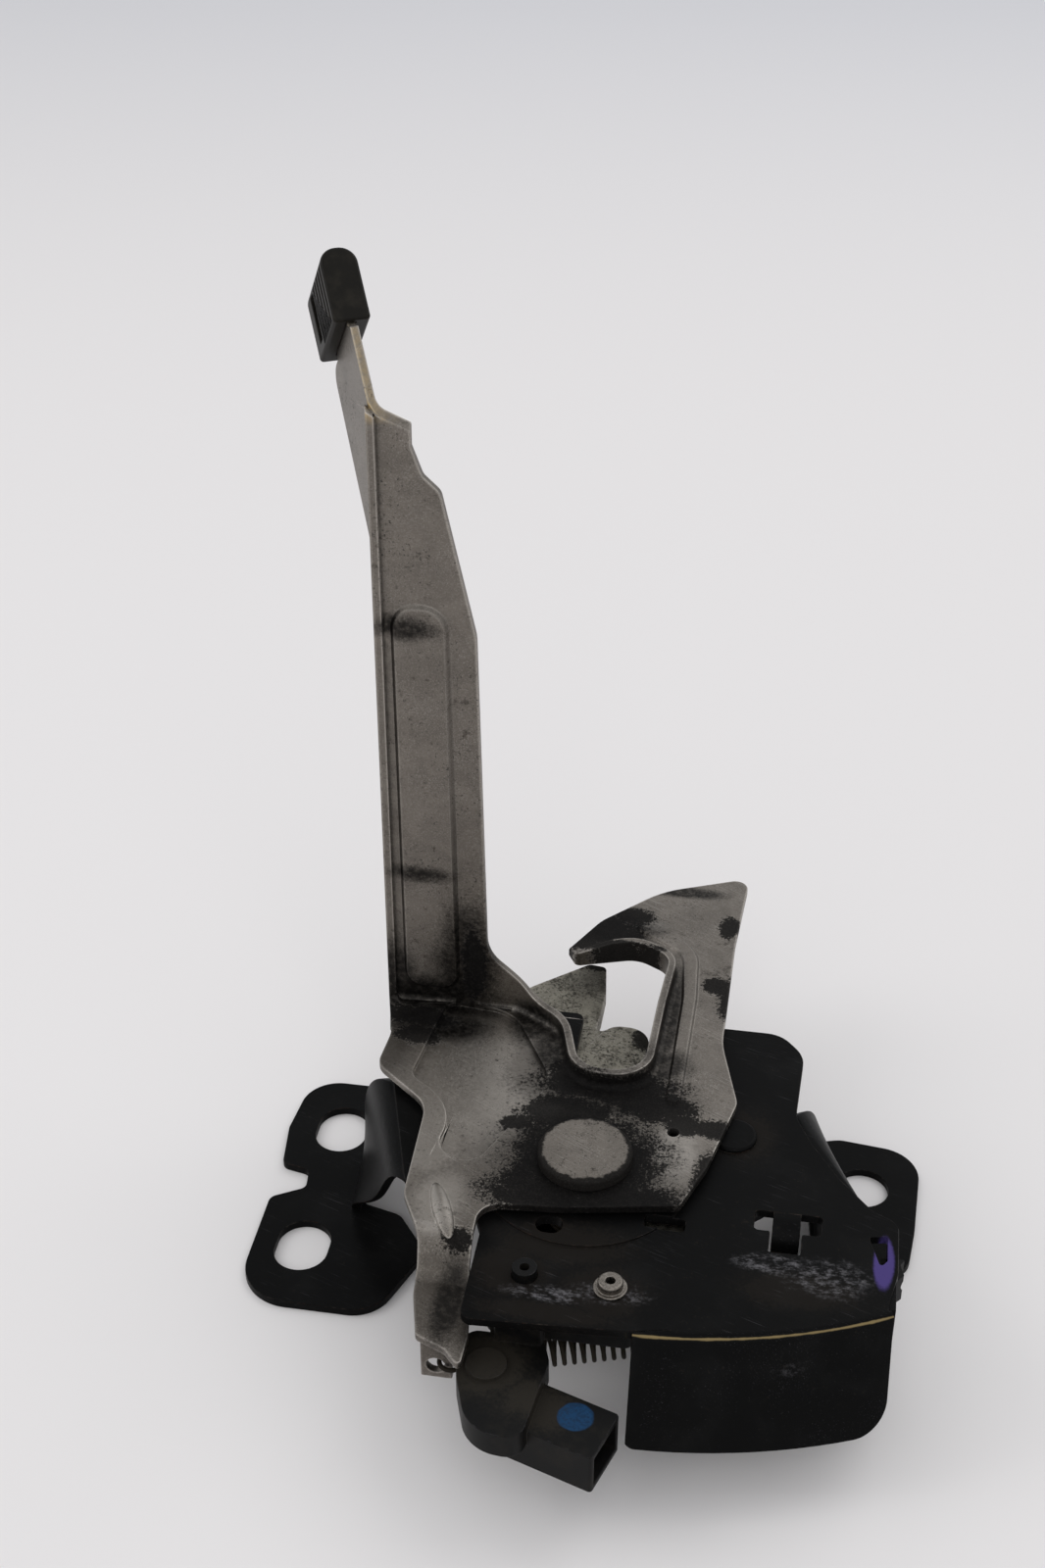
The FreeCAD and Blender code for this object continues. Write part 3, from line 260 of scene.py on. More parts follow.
def wear_group():
    """Rubbed convex edges, broken up by noise, and a crevice mask from ambient occlusion that darkens
    hollows as grease or dust and as painted shade.
    """
    tree, given, result = new_group(
        "edge wear", (("Width", "NodeSocketFloat", 0.4 * MM), ("Cover", "NodeSocketFloat", 0.5)),
        ("Mask", "CreviceDirtAndShade"))
    soft = place(tree, "ShaderNodeBevel", {"Radius": given["Width"]}, samples=6)
    true = place(tree, "ShaderNodeNewGeometry")
    facing = vector(tree, "DOT_PRODUCT", soft.outputs[0], true.outputs["Normal"]).outputs["Value"]
    edge = fade(tree, facing, 0.90, 0.995, 1.0, 0.0)
    shut = place(tree, "ShaderNodeAmbientOcclusion", {"Distance": 3.0 * MM}, samples=6, only_local=True)
    open_sky = fade(tree, shut.outputs["AO"], 0.72, 0.93)
    broken = noise(tree, millimetres(tree), 0.8, 6.0, 0.7)
    held = fade(tree, calc(tree, "ADD", broken, given["Cover"]), 0.8, 1.05)
    put(tree, result["Mask"], calc(tree, "MULTIPLY", calc(tree, "MULTIPLY", edge, open_sky), held))
    # Crevice mask: low ambient occlusion, used as grease or dust and as painted shade in hollows.
    put(tree, result["CreviceDirtAndShade"], fade(tree, shut.outputs["AO"], 0.35, 0.85, 1.0, 0.0))
    return tree


def scratch_group():
    """Fine straight scratches along one direction."""
    tree, given, result = new_group(
        "scratches", (("Turn", "NodeSocketVector", (0, 0, 0)), ("Cover", "NodeSocketFloat", 0.3)),
        ("Mask",))
    spot = millimetres(tree)
    turned = place(tree, "ShaderNodeVectorRotate", {"Vector": spot, "Rotation": given["Turn"]},
                   rotation_type="EULER_XYZ")
    drawn = vector(tree, "MULTIPLY", turned.outputs[0], (0.10, 5.5, 5.5)).outputs[0]
    lines = noise(tree, drawn, 1.0, 3.0, 0.6)
    patches = noise(tree, spot, 0.09, 3.0, 0.6)
    held = calc(tree, "MULTIPLY_ADD", given["Cover"], 0.3, calc(tree, "MULTIPLY", patches, 0.25))
    put(tree, result["Mask"], fade(tree, calc(tree, "ADD", lines, held), 0.78, 0.90))
    return tree


def speckle_group():
    """Small pits or specks, more of them where Cover is higher."""
    tree, given, result = new_group(
        "specks", (("Scale", "NodeSocketFloat", 1.2), ("Cover", "NodeSocketFloat", 0.3)), ("Mask",))
    spot = millimetres(tree)
    small = noise(tree, spot, given["Scale"], 6.0, 0.72)
    large = noise(tree, spot, 0.12, 3.0, 0.6)
    held = calc(tree, "MULTIPLY_ADD", large, 0.25, calc(tree, "MULTIPLY", given["Cover"], 0.3))
    put(tree, result["Mask"], fade(tree, calc(tree, "ADD", small, held), 0.76, 0.86))
    return tree


GROUPS = {"spot": stain_group, "wear": wear_group, "scratches": scratch_group, "specks": speckle_group}
made_groups = {}


def group_node(tree, kind, **values):
    """One of the shared effects, with its own values."""
    if kind not in made_groups:
        made_groups[kind] = GROUPS[kind]()
    used = tree.nodes.new("ShaderNodeGroup")
    used.node_tree = made_groups[kind]
    for name, value in values.items():
        put(tree, used.inputs[name], value)
    return used


def effect(tree, kind, **values):
    """The mask of a shared effect."""
    return group_node(tree, kind, **values).outputs["Mask"]


def spots(tree, list_of_spots, outputs, rag=1.0):
    """The named outputs, Mask or Film, of a list of ragged spots taken together."""
    spot = millimetres(tree)
    fine = noise(tree, spot, 1.3, 8.0, 0.75)
    large = noise(tree, spot, 0.2, 3.0, 0.6)
    both = calc(tree, "ADD", calc(tree, "MULTIPLY", fine, 1.8), calc(tree, "MULTIPLY", large, 0.7))
    push = calc(tree, "MULTIPLY", calc(tree, "SUBTRACT", both, 1.25), rag)
    used = [group_node(tree, "spot", Place=where, Reach=reach, Push=push)
            for where, reach in list_of_spots]
    return [most(tree, [one.outputs[name] for one in used]) for name in outputs]


def material(name):
    """A new material with its shader."""
    made = bpy.data.materials.new(name)
    made.use_nodes = True
    tree = made.node_tree
    return made, tree, tree.nodes["Principled BSDF"]


def bumped(tree, shader, height, depth, strength):
    """Gives the shader a bump of that depth in metres."""
    bump = place(tree, "ShaderNodeBump", {"Height": height, "Distance": depth, "Strength": strength})
    put(tree, shader.inputs["Normal"], bump.outputs[0])


def worn_metal(name, base, dark_spots=(), soot_spots=(), bright_spots=(), brown_spots=(), grease=0.3,
               wear=0.5, roughness=0.40, mottle=0.3, extra_grease_and_shadow=None, extra_tone=None):
    """Bare or plated metal with grain, scratches, pits, rubbed edges and black grease, and black painted
    shade in crevices.
    """
    shades = colours()
    made, tree, shader = material(name)
    spot = millimetres(tree)
    # Clouded, grained and scratched metal.
    clouds = noise(tree, spot, 0.10, 5.0, 0.62, 0.8)
    grain = noise(tree, spot, 2.6, 5.0, 0.7)
    dull = tuple(c * (1.0 - mottle) for c in base[:3]) + (1.0,)
    tone = blend(tree, fade(tree, clouds, 0.34, 0.68), dull, base)
    tone = blend(tree, fade(tree, grain, 0.45, 0.78, 0.0, 0.25), tone, shades.bare)
    lines = most(tree, [effect(tree, "scratches", Turn=turn, Cover=0.25)
                        for turn in ((0, 0, 0.5), (0.2, 0.9, -0.7))])
    tone = blend(tree, calc(tree, "MULTIPLY", lines, 0.3), tone, shades.bare)
    if extra_tone:
        tone = extra_tone(tree, tone, spot)
    # Rubbed patches and edges.
    if bright_spots:
        core, film = spots(tree, bright_spots, ("Mask", "Film"))
        rubbed = calc(tree, "MULTIPLY_ADD", core, 0.08, calc(tree, "MULTIPLY", film, 0.30))
        tone = blend(tree, rubbed, tone, shades.bare)
    edges = group_node(tree, "wear", Width=0.8 * MM, Cover=wear)
    tone = blend(tree, calc(tree, "MULTIPLY", edges.outputs["Mask"], 0.75), tone, shades.bare)
    # Dried dirt, then black grease in pits and the named spots, and black in crevices where ambient
    # occlusion is low, which is grease and painted shade.
    brown = calc(tree, "MULTIPLY", effect(tree, "specks", Scale=0.5, Cover=grease), 0.5)
    if brown_spots:
        [film] = spots(tree, brown_spots, ("Film",))
        brown = calc(tree, "MAXIMUM", brown, calc(tree, "MULTIPLY", film, 0.45))
    tone = blend(tree, brown, tone, shades.dirt)
    pits = calc(tree, "MULTIPLY", effect(tree, "specks", Scale=1.5, Cover=grease), 0.85)
    ragged = fade(tree, noise(tree, spot, 0.45, 6.0, 0.65), 0.35, 0.62)
    # Painted shade: crevices turn black where ambient occlusion is low, drawn as grease.
    crevice_grease_and_shade = calc(tree, "MULTIPLY", calc(tree, "MULTIPLY", edges.outputs["CreviceDirtAndShade"], ragged), 0.6)
    black = calc(tree, "MAXIMUM", pits, crevice_grease_and_shade)
    if soot_spots:
        [film] = spots(tree, soot_spots, ("Film",), 0.6)
        streaks = fade(tree, noise(tree, spot, 0.7, 7.0, 0.7), 0.25, 0.60, 0.55, 1.0)
        tone = blend(tree, calc(tree, "MULTIPLY", film, streaks), tone, shades.soot)
    if dark_spots:
        [core] = spots(tree, dark_spots, ("Mask",))
        black = calc(tree, "MAXIMUM", black, core)
    # Extra black, such as the rivet head's rim, which is grease and painted shadow.
    if extra_grease_and_shadow:
        black = calc(tree, "MAXIMUM", black, extra_grease_and_shadow(tree, spot))
    # Grease is no metal, and is rougher and thicker than the metal round it.
    crust = blend(tree, fade(tree, grain, 0.45, 0.85), shades.grease, shades.soot)
    tone = blend(tree, calc(tree, "MULTIPLY", black, 0.95), tone, crust)
    put(tree, shader.inputs["Base Color"], tone)
    put(tree, shader.inputs["Metallic"], fade(tree, black, 0.1, 0.7, 1.0, 0.0))
    clean = fade(tree, grain, 0.3, 0.7, roughness - 0.06, roughness + 0.10)
    put(tree, shader.inputs["Roughness"], calc(tree, "MULTIPLY_ADD", black, 0.12, clean))
    shader.inputs["Specular IOR Level"].default_value = LOW_GLOSS
    height = calc(tree, "MULTIPLY_ADD", lines, -0.3, calc(tree, "MULTIPLY", grain, 0.5))
    height = calc(tree, "MULTIPLY_ADD", black, 0.7, height)
    bumped(tree, shader, height, 0.05 * MM, 0.5)
    return made


def painted(name, base, scuffs_and_sheen=(), dirt=(), wear=0.35, extra=None):
    """Black satin paint with orange peel, chipped edges, smeared scuffs, a painted sheen and dirt."""
    shades = colours()
    made, tree, shader = material(name)
    spot = millimetres(tree)
    # Uneven black with specks of dust and brown dirt.
    peel = noise(tree, spot, 1.1, 3.0, 0.5)
    clouds = noise(tree, spot, 0.06, 4.0, 0.6)
    greyer = tuple(c * 2.4 + 0.001 for c in base[:3]) + (1.0,)
    tone = blend(tree, fade(tree, clouds, 0.45, 0.8, 0.0, 0.7), base, greyer)
    dusty = calc(tree, "MULTIPLY", effect(tree, "specks", Scale=0.9, Cover=0.05), 0.5)
    if dirt:
        core, film = spots(tree, dirt, ("Mask", "Film"))
        crusted = calc(tree, "MULTIPLY_ADD", core, 0.16, calc(tree, "MULTIPLY", film, 0.24))
        dusty = calc(tree, "MAXIMUM", dusty, crusted)
    tone = blend(tree, calc(tree, "MULTIPLY", dusty, 0.6), tone, shades.dirt)
    # Scratches, chalky scuffs and edges chipped to steel and rust; one scuff spot is a painted highlight,
    # the sheen of a dent.
    rubbed = calc(tree, "MULTIPLY", effect(tree, "scratches", Turn=(0, 0, 0.35), Cover=0.05), 0.2)
    if scuffs_and_sheen:
        smear = noise(tree, vector(tree, "MULTIPLY", spot, (0.5, 0.9, 0.9)).outputs[0], 1.0, 9.0, 0.75)
        [film] = spots(tree, scuffs_and_sheen, ("Film",), 0.9)
        chalky_and_sheen = calc(tree, "MULTIPLY", film, fade(tree, smear, 0.44, 0.70, 0.0, 0.65))
        rubbed = calc(tree, "MAXIMUM", rubbed, chalky_and_sheen)
    tone = blend(tree, calc(tree, "MULTIPLY", rubbed, 0.75), tone, shades.scuff_and_sheen)
    edges = effect(tree, "wear", Width=0.35 * MM, Cover=wear)
    worn_tone = blend(tree, fade(tree, clouds, 0.4, 0.6), shades.steel, shades.rust)
    tone = blend(tree, calc(tree, "MULTIPLY", edges, 0.4), tone, worn_tone)
    if extra:
        tone = extra(tree, tone, spot)
    put(tree, shader.inputs["Base Color"], tone)
    matt = calc(tree, "MULTIPLY_ADD", calc(tree, "MAXIMUM", dusty, rubbed), 0.3, 0.32)
    put(tree, shader.inputs["Roughness"], calc(tree, "MULTIPLY_ADD", clouds, 0.12, matt))
    shader.inputs["Specular IOR Level"].default_value = LOW_GLOSS
    bumped(tree, shader, calc(tree, "MULTIPLY_ADD", rubbed, -0.5, peel), 0.07 * MM, 0.35)
    return made


def moulded(name, base, film=(), film_strength=0.6, extra=None, roughness=0.44):
    """Moulded plastic with a fine texture, worn edges and a dirty film, which also darkens crevices as
    painted shade.
    """
    shades = colours()
    made, tree, shader = material(name)
    spot = millimetres(tree)
    fine = noise(tree, spot, 4.5, 3.0, 0.6)
    clouds = noise(tree, spot, 0.18, 5.0, 0.65)
    edges = group_node(tree, "wear", Width=0.3 * MM, Cover=0.35)
    # Dust in random clouds, and painted shade in crevices where ambient occlusion is low.
    dust_and_shade = calc(tree, "MAXIMUM", fade(tree, clouds, 0.45, 0.8, 0.0, 0.5),
                 calc(tree, "MULTIPLY", edges.outputs["CreviceDirtAndShade"], 0.4))
    if film:
        core, soft = spots(tree, film, ("Mask", "Film"))
        filmed = calc(tree, "MULTIPLY_ADD", core, 0.2, calc(tree, "MULTIPLY", soft, 0.6))
        dust_and_shade = calc(tree, "MAXIMUM", dust_and_shade, filmed)
    tone = blend(tree, calc(tree, "MULTIPLY", dust_and_shade, film_strength), base, shades.dust)
    tone = blend(tree, calc(tree, "MULTIPLY", edges.outputs["Mask"], 0.22), tone, shades.scuff_and_sheen)
    if extra:
        tone = extra(tree, tone, spot)
    put(tree, shader.inputs["Base Color"], tone)
    put(tree, shader.inputs["Roughness"], calc(tree, "MULTIPLY_ADD", dust_and_shade, 0.2, roughness))
    shader.inputs["Specular IOR Level"].default_value = PLASTIC_GLOSS
    bumped(tree, shader, fine, 0.03 * MM, 0.4)
    return made


# Spots of dirt and wear, and one painted highlight among the paint's scuffs, each with its centre and its
# reach along X, Y and Z, in millimetres.
LEVER_GREASE = (
    ((19, 21, 39.3), (11, 4, 4)), ((21, 14, 39.3), (6, 4, 4)), ((66, 4, 39.3), (19, 7, 4)),
    ((78, -2, 39.3), (10, 5.5, 4)), ((58, -7, 39.3), (12, 7, 4)), ((64.5, -21, 38), (19.5, 18, 5)),
    ((57, -32, 38), (15, 8.5, 5)), ((73, -32, 38), (17, 8.5, 5)), ((91, -24, 38), (4, 11, 5)),
    ((84, -6.5, 39.3), (4.6, 4.2, 4)), ((92, -7, 39.3), (8, 3.4, 4)), ((56, 60, 39.3), (13, 8.5, 5)),
    ((64, 67, 39.3), (6, 4, 5)), ((91.5, 39, 39.3), (4.6, 10, 5)), ((87, 43, 39.3), (4, 3.5, 4)),
    ((42, -46, 36), (4, 3, 4)), ((31.8, 26, 51), (3.2, 4, 12)), ((48, -11, 39), (4, 3, 4)),
    ((58, 8, 39.3), (5, 5, 4)), ((88, 66, 39.3), (3, 5, 3)), ((52, 54, 39.3), (8, 6, 5)),
    ((64, 50, 40), (13, 2.2, 8)))
LEVER_SOOT = (
    ((30, 27, 50), (7, 4, 17)), ((12, 27, 44), (6, 4, 12)), ((22, 27, 41), (16, 5, 6)),
    ((37, 33, 39.3), (9, 5, 4)), ((47, 24, 39.3), (6, 8, 4)), ((53, 14, 39.3), (5, 8, 4)),
    ((24, 19, 39.3), (12, 5, 3)), ((66, 1, 39.3), (17, 8, 4)), ((64, -22, 38), (18, 17, 5)),
    ((70, -32, 38), (22, 7, 4)), ((60, 62, 39.3), (11, 6, 4)), ((76, 79, 39.3), (9, 2, 4)),
    ((20, 27, 76), (7, 3, 2.2)), ((18, 27, 139), (7, 3, 2.6)), ((42, -58, 30), (3, 10, 10)),
    ((77, 30, 39.3), (2.5, 18, 4)), ((76, 12, 39.3), (7, 6, 4)))
LEVER_BRIGHT = (((83, -16, 39.3), (5, 8, 3)), ((36, -38, 40), (5, 10, 3)), ((31, -18, 39.3), (7, 12, 3)),
                ((38, 0, 38.7), (16, 22, 4)), ((66, 64, 39.3), (6, 2, 3)), ((52, -6, 39.3), (5, 4, 3)))
LEVER_BROWN = (((42, -57, 30), (12, 12, 12)), ((15, 8, 39.3), (4, 9, 3)), ((48, 8, 38.7), (5, 8, 3)))
PAINT_SCUFFS_AND_SHEEN = (((106.5, -41.5, 36), (6.5, 2.4, 3)), ((117.5, -43.5, 36), (7, 4.4, 3)),
                # The spot at (110.5, -59.5, 28.8) is a painted highlight, the sheen of a dent in the
                # skirt, not a scuff.
                ((110.5, -59.5, 28.8), (3.2, 3, 1.3)), ((127, -50, 12), (4, 5, 4)),
                ((75, -55, 36), (6.5, 2.2, 3)), ((62, -57, 36), (7, 1.8, 3)))
PAINT_DIRT = (((63, -43, 36), (13, 6, 3)), ((73, -55, 36), (9, 7, 3)), ((54, -52, 36), (8, 7, 3)),
              ((97, -4, 36), (7, 8, 4)), ((112, -48, 36), (12, 5, 3)), ((62, -62, 35), (14, 3, 3)))
CATCH_GREASE = (((57, 56, 33), (8, 4, 5)), ((72, 29, 33), (4, 5, 5)))
CATCH_BROWN = (((63, 47, 33), (3, 7, 4)), ((62, 36, 33), (3, 4, 4)))
SWITCH_FILM = (((52, -69, 26), (8, 8, 3)), ((62, -76, 24), (8, 6, 4)))
GRIP_FILM = (((8, 24, 205), (9, 6, 12)),)
PURPLE_SPOT = ((128.6, -37.5, 34.0), (2.6, 9.0, 5.0))

# Places of the other marks, in millimetres.
GOLD_LOW = 184.0
SKIRT_CENTRE = (77.0, 50.5, 0.0)
SKIRT_RADIUS = 115.1
FOLD_LOW = 33.8
FOLD_LEFT = 78.5
BLUE_PLACE = (70.9, -76.9, 24.0)
BLUE_RADIUS = 3.7
RIVET_PLACE = (64.5, -20.5, 0.0)
RIM_RADIUS = 10.0

# Angles in degrees: what is rounded on turned and folded pieces, what is shaded sharp, what is merged.
SHARP_ANGLE = 35.0
FOLD_ANGLE = 50.0
SMOOTH_ANGLE = 32.0
FLAT_ANGLE = 0.1
EDGE_STEPS = 2
FOLD_STEPS = 4

# How level, in a face's normal, the sheets' flat faces and the lever's and plate's walls are.
LEVEL_NORMAL = 0.9
LEVER_WALL_NORMAL = 0.2
PLATE_WALL_NORMAL = 0.4
SAME_LEVEL = 0.05 * MM

# The lever's sheet lies HEAD_HEIGHT below the rivet's top, and its recess left of the hook's tip.
HEAD_HEIGHT = 3.05 * MM
HOOK_TIP = (66 * MM, 42 * MM)
RECESS_DEPTH = (0.2 * MM, 1.2 * MM)
RECESS_NORMAL = 0.99
RECESS_AREA = 1e-4
LIP_HEIGHT = 2 * MM

# The base plate's tall walls, the width of its skirt's fold in millimetres, and its T-shaped hole.
WALL_HEIGHT = 5 * MM
FOLD_WIDTH = 1.0
HOLE_X = (99 * MM, 118 * MM)
HOLE_Y = (-42 * MM, -22 * MM)
STEM_LENGTH = 2 * MM

# The strip in that hole, and how far it is bent, in degrees.
STRIP_GAP = 0.2 * MM
STRIP_SHEET = 1.6 * MM
STRIP_TURN = 80.0
STRIP_STEPS = 8


def flat_distance(tree, spot, centre):
    """Distance from an upright axis, in millimetres."""
    away = vector(tree, "SUBTRACT", spot, centre).outputs[0]
    level = vector(tree, "MULTIPLY", away, (1, 1, 0)).outputs[0]
    return vector(tree, "LENGTH", level, (0, 0, 0)).outputs["Value"]


def plate_marks(tree, tone, spot):
    """The golden rubbed fold above the skirt and the purple mark beside the window."""
    shades = colours()
    parts = place(tree, "ShaderNodeSeparateXYZ", {"Vector": spot})
    reach = flat_distance(tree, spot, SKIRT_CENTRE)
    away = calc(tree, "ABSOLUTE", calc(tree, "SUBTRACT", reach, SKIRT_RADIUS))
    wavy = calc(tree, "MULTIPLY_ADD", noise(tree, spot, 0.35, 5.0), 0.35, away)
    line = fade(tree, wavy, 0.22, 0.42, 0.6, 0.0)
    line = calc(tree, "MULTIPLY", line, fade(tree, parts.outputs["Z"], FOLD_LOW, FOLD_LOW + 1))
    line = calc(tree, "MULTIPLY", line, fade(tree, parts.outputs["X"], FOLD_LEFT, FOLD_LEFT + 2))
    tone = blend(tree, line, tone, shades.fold)
    [core] = spots(tree, (PURPLE_SPOT,), ("Mask",), 0.12)
    return blend(tree, calc(tree, "MULTIPLY", core, 0.9), tone, shades.purple)


def gold_tip(tree, tone, spot):
    """The tarnished cut edge of the arm's narrow tip."""
    facing = place(tree, "ShaderNodeTexCoord").outputs["Normal"]
    toward = place(tree, "ShaderNodeSeparateXYZ", {"Vector": facing}).outputs["Y"]
    height = place(tree, "ShaderNodeSeparateXYZ", {"Vector": spot}).outputs["Z"]
    facing_front = fade(tree, toward, -0.8, -0.5, 1.0, 0.0)
    held = calc(tree, "MULTIPLY", facing_front, fade(tree, height, GOLD_LOW, GOLD_LOW + 4))
    patchy = fade(tree, noise(tree, spot, 0.7, 5.0), 0.3, 0.6, 0.3, 0.9)
    return blend(tree, calc(tree, "MULTIPLY", held, patchy), tone, colours().gold)


def rim_grease_and_shadow(tree, spot):
    """Grease and painted shadow on the rim of the main rivet's head: the head goes black beyond
    RIM_RADIUS.
    """
    away = flat_distance(tree, spot, RIVET_PLACE)
    wavy = calc(tree, "MULTIPLY_ADD", noise(tree, spot, 0.6, 7.0, 0.7), 2.6, away)
    return fade(tree, wavy, RIM_RADIUS, RIM_RADIUS + 0.7)


def switch_mark(tree, tone, spot):
    """The round blue dot on the socket."""
    away = flat_distance(tree, spot, BLUE_PLACE)
    wavy = calc(tree, "MULTIPLY_ADD", noise(tree, spot, 0.7, 3.0), 0.8, away)
    dot = fade(tree, wavy, BLUE_RADIUS, BLUE_RADIUS + 0.5, 1.0, 0.0)
    worn = calc(tree, "MULTIPLY", dot, fade(tree, noise(tree, spot, 1.4, 5.0, 0.7), 0.35, 0.60, 0.6, 1.0))
    return blend(tree, worn, tone, colours().blue)


def merged(name):
    """A bmesh of a CAD node with its loose triangles joined and its flat faces whole."""
    work = bmesh.new()
    work.from_mesh(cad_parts[name].data)
    bmesh.ops.remove_doubles(work, verts=work.verts, dist=sizes().merge)
    bmesh.ops.dissolve_limit(work, angle_limit=math.radians(FLAT_ANGLE), verts=work.verts,
                             edges=work.edges)
    return work


def round_edges(work, edges, width, segments):
    """Bevels those edges."""
    if edges:
        bmesh.ops.bevel(work, geom=edges, offset=width, offset_type="OFFSET", segments=segments,
                        profile=0.5, affect="EDGES", material=-1, clamp_overlap=False)


def sharp_edges(work, angle=SHARP_ANGLE):
    """Edges where two faces meet at more than that many degrees."""
    return [e for e in work.edges if len(e.link_faces) == 2 and e.calc_face_angle() > math.radians(angle)]


def level_and_upright(edge, lean):
    """The level faces beside an edge, and those whose normal rises by less than lean."""
    level = [f for f in edge.link_faces if abs(f.normal.z) > LEVEL_NORMAL]
    upright = [f for f in edge.link_faces if abs(f.normal.z) < lean]
    return level, upright


def finished(work, name, node, body, look):
    """Makes the bmesh a piece that moves with its body, and stands for a CAD node if one is named."""
    mesh = bpy.data.meshes.new(name)
    work.to_mesh(mesh)
    work.free()
    mesh.polygons.foreach_set("use_smooth", [True] * len(mesh.polygons))
    mesh.set_sharp_from_angle(angle=math.radians(SMOOTH_ANGLE))
    mesh.materials.append(look)
    piece = bpy.data.objects.new(name, mesh)
    bpy.context.scene.collection.objects.link(piece)
    even = piece.modifiers.new("even shading", "WEIGHTED_NORMAL")
    even.keep_sharp = True
    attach(piece, body)
    if node:
        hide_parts(node)


def dressed(name, node, body, look, edge=0.0):
    """Makes a piece of a CAD node's shape, with softened edges if edge is given."""
    work = merged(node)
    if edge:
        round_edges(work, sharp_edges(work), edge, EDGE_STEPS)
    finished(work, name, node, body, look)


def recoloured(node, look):
    """A CAD node as it is, with a better finish."""
    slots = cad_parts[node].data.materials
    slots.clear()
    slots.append(look)


class LATCH_OT_lever(bpy.types.Operator):
    """The secondary lever with rounded folds and its worn, greasy steel"""
    bl_idname = "latch.lever"
    bl_label = "Secondary lever"

    def execute(self, context):
        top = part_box("main_rivet")[1].z - HEAD_HEIGHT
        look = worn_metal("worn lever steel", colours().steel, LEVER_GREASE, LEVER_SOOT, LEVER_BRIGHT,
                          LEVER_BROWN, grease=0.16, wear=0.75, mottle=0.22, extra_tone=gold_tip)
        work = merged("secondary_lever")
        self.deepen(work, top)
        round_edges(work, self.folds(work, top), sizes().bend_inside, FOLD_STEPS)
        round_edges(work, sharp_edges(work, FOLD_ANGLE), sizes().sheet_edge, EDGE_STEPS)
        finished(work, "secondary_lever_sheet", "secondary_lever", "lever", look)
        return {"FINISHED"}

    def deepen(self, work, top):
        """Presses the floor of the shallow recess a little deeper."""
        for face in work.faces:
            centre = face.calc_center_median()
            low = RECESS_DEPTH[0] < top - centre.z < RECESS_DEPTH[1]
            wide = face.normal.z > RECESS_NORMAL and face.calc_area() > RECESS_AREA
            if low and wide and centre.x < HOOK_TIP[0]:
                for vert in face.verts:
                    vert.co.z -= sizes().recess

    def folds(self, work, top):
        """The edges inside the folds of the lip and the arm."""
        inner = []
        for edge in work.edges:
            flat, wall = level_and_upright(edge, LEVER_WALL_NORMAL)
            on_top = all(abs(v.co.z - top) < SAME_LEVEL for v in edge.verts)
            middle = (edge.verts[0].co + edge.verts[1].co) / 2
            past_tip = middle.x < HOOK_TIP[0] and middle.y > HOOK_TIP[1]
            if len(edge.link_faces) != 2 or not (flat and wall and on_top) or past_tip:
                continue
            if max(v.co.z for v in wall[0].verts) - top > LIP_HEIGHT:
                inner.append(edge)
        return inner


class LATCH_OT_plates(bpy.types.Operator):
    """The painted base plate and the rear plate"""
    bl_idname = "latch.plates"
    bl_label = "Base plate and rear plate"

    def execute(self, context):
        shades = colours()
        paint = painted("scuffed black paint", shades.paint, PAINT_SCUFFS_AND_SHEEN, PAINT_DIRT, extra=plate_marks)
        edge = sizes().sheet_edge
        work = merged("base_plate")
        around_hole = [v.co.copy() for v in work.verts if self.near_hole(v.co)]
        top = max(c.z for c in around_hole)
        round_edges(work, self.drawn_edges(work, top), sizes().drawn_edge, FOLD_STEPS)
        kept = [e for e in sharp_edges(work, FOLD_ANGLE) if not self.on_skirt_fold(e)]
        round_edges(work, kept, edge, EDGE_STEPS)
        finished(work, "base_plate_sheet", "base_plate", "base", paint)
        self.tongue(around_hole, paint)
        dressed("back_plate_sheet", "back_plate", "base", paint, edge)
        return {"FINISHED"}

    def drawn_edges(self, work, top):
        """The plate's top edges above tall walls, apart from the fold of the skirt."""
        drawn = []
        for edge in work.edges:
            on_top = all(abs(v.co.z - top) < SAME_LEVEL for v in edge.verts)
            if len(edge.link_faces) != 2 or not on_top or self.on_skirt_fold(edge):
                continue
            flat, wall = level_and_upright(edge, PLATE_WALL_NORMAL)
            if flat and wall and top - min(v.co.z for v in wall[0].verts) > WALL_HEIGHT:
                drawn.append(edge)
        return drawn

    def on_skirt_fold(self, edge):
        """Whether an edge lies on the fine fold between the plate and its skirt."""
        middle = (edge.verts[0].co + edge.verts[1].co) / 2
        away = math.hypot(middle.x / MM - SKIRT_CENTRE[0], middle.y / MM - SKIRT_CENTRE[1])
        return abs(away - SKIRT_RADIUS) < FOLD_WIDTH

    def near_hole(self, co):
        """Whether a point lies on the outline of the T-shaped hole."""
        return HOLE_X[0] < co.x < HOLE_X[1] and HOLE_Y[0] < co.y < HOLE_Y[1]

    def tongue(self, around_hole, paint):
        """The strip bent down from the back of the T-shaped hole."""
        top = max(c.z for c in around_hole)
        back = max(c.y for c in around_hole)
        front = min(c.y for c in around_hole)
        stem = [c.x for c in around_hole if c.y < front + STEM_LENGTH]
        left = min(stem) + STRIP_GAP
        right = max(stem) - STRIP_GAP
        under = top - STRIP_SHEET
        work = bmesh.new()
        section = work.faces.new([work.verts.new((x, back, z)) for x, z in (
            (left, top), (right, top), (right, under), (left, under))])
        bmesh.ops.spin(work, geom=[section], cent=(0, back, top - sizes().strip_bend), axis=(1, 0, 0),
                       angle=math.radians(STRIP_TURN), steps=STRIP_STEPS, use_duplicate=False)
        bmesh.ops.holes_fill(work, edges=[e for e in work.edges if e.is_boundary])
        bmesh.ops.recalc_face_normals(work, faces=work.faces)
        finished(work, "plate_tongue", None, "base", paint)


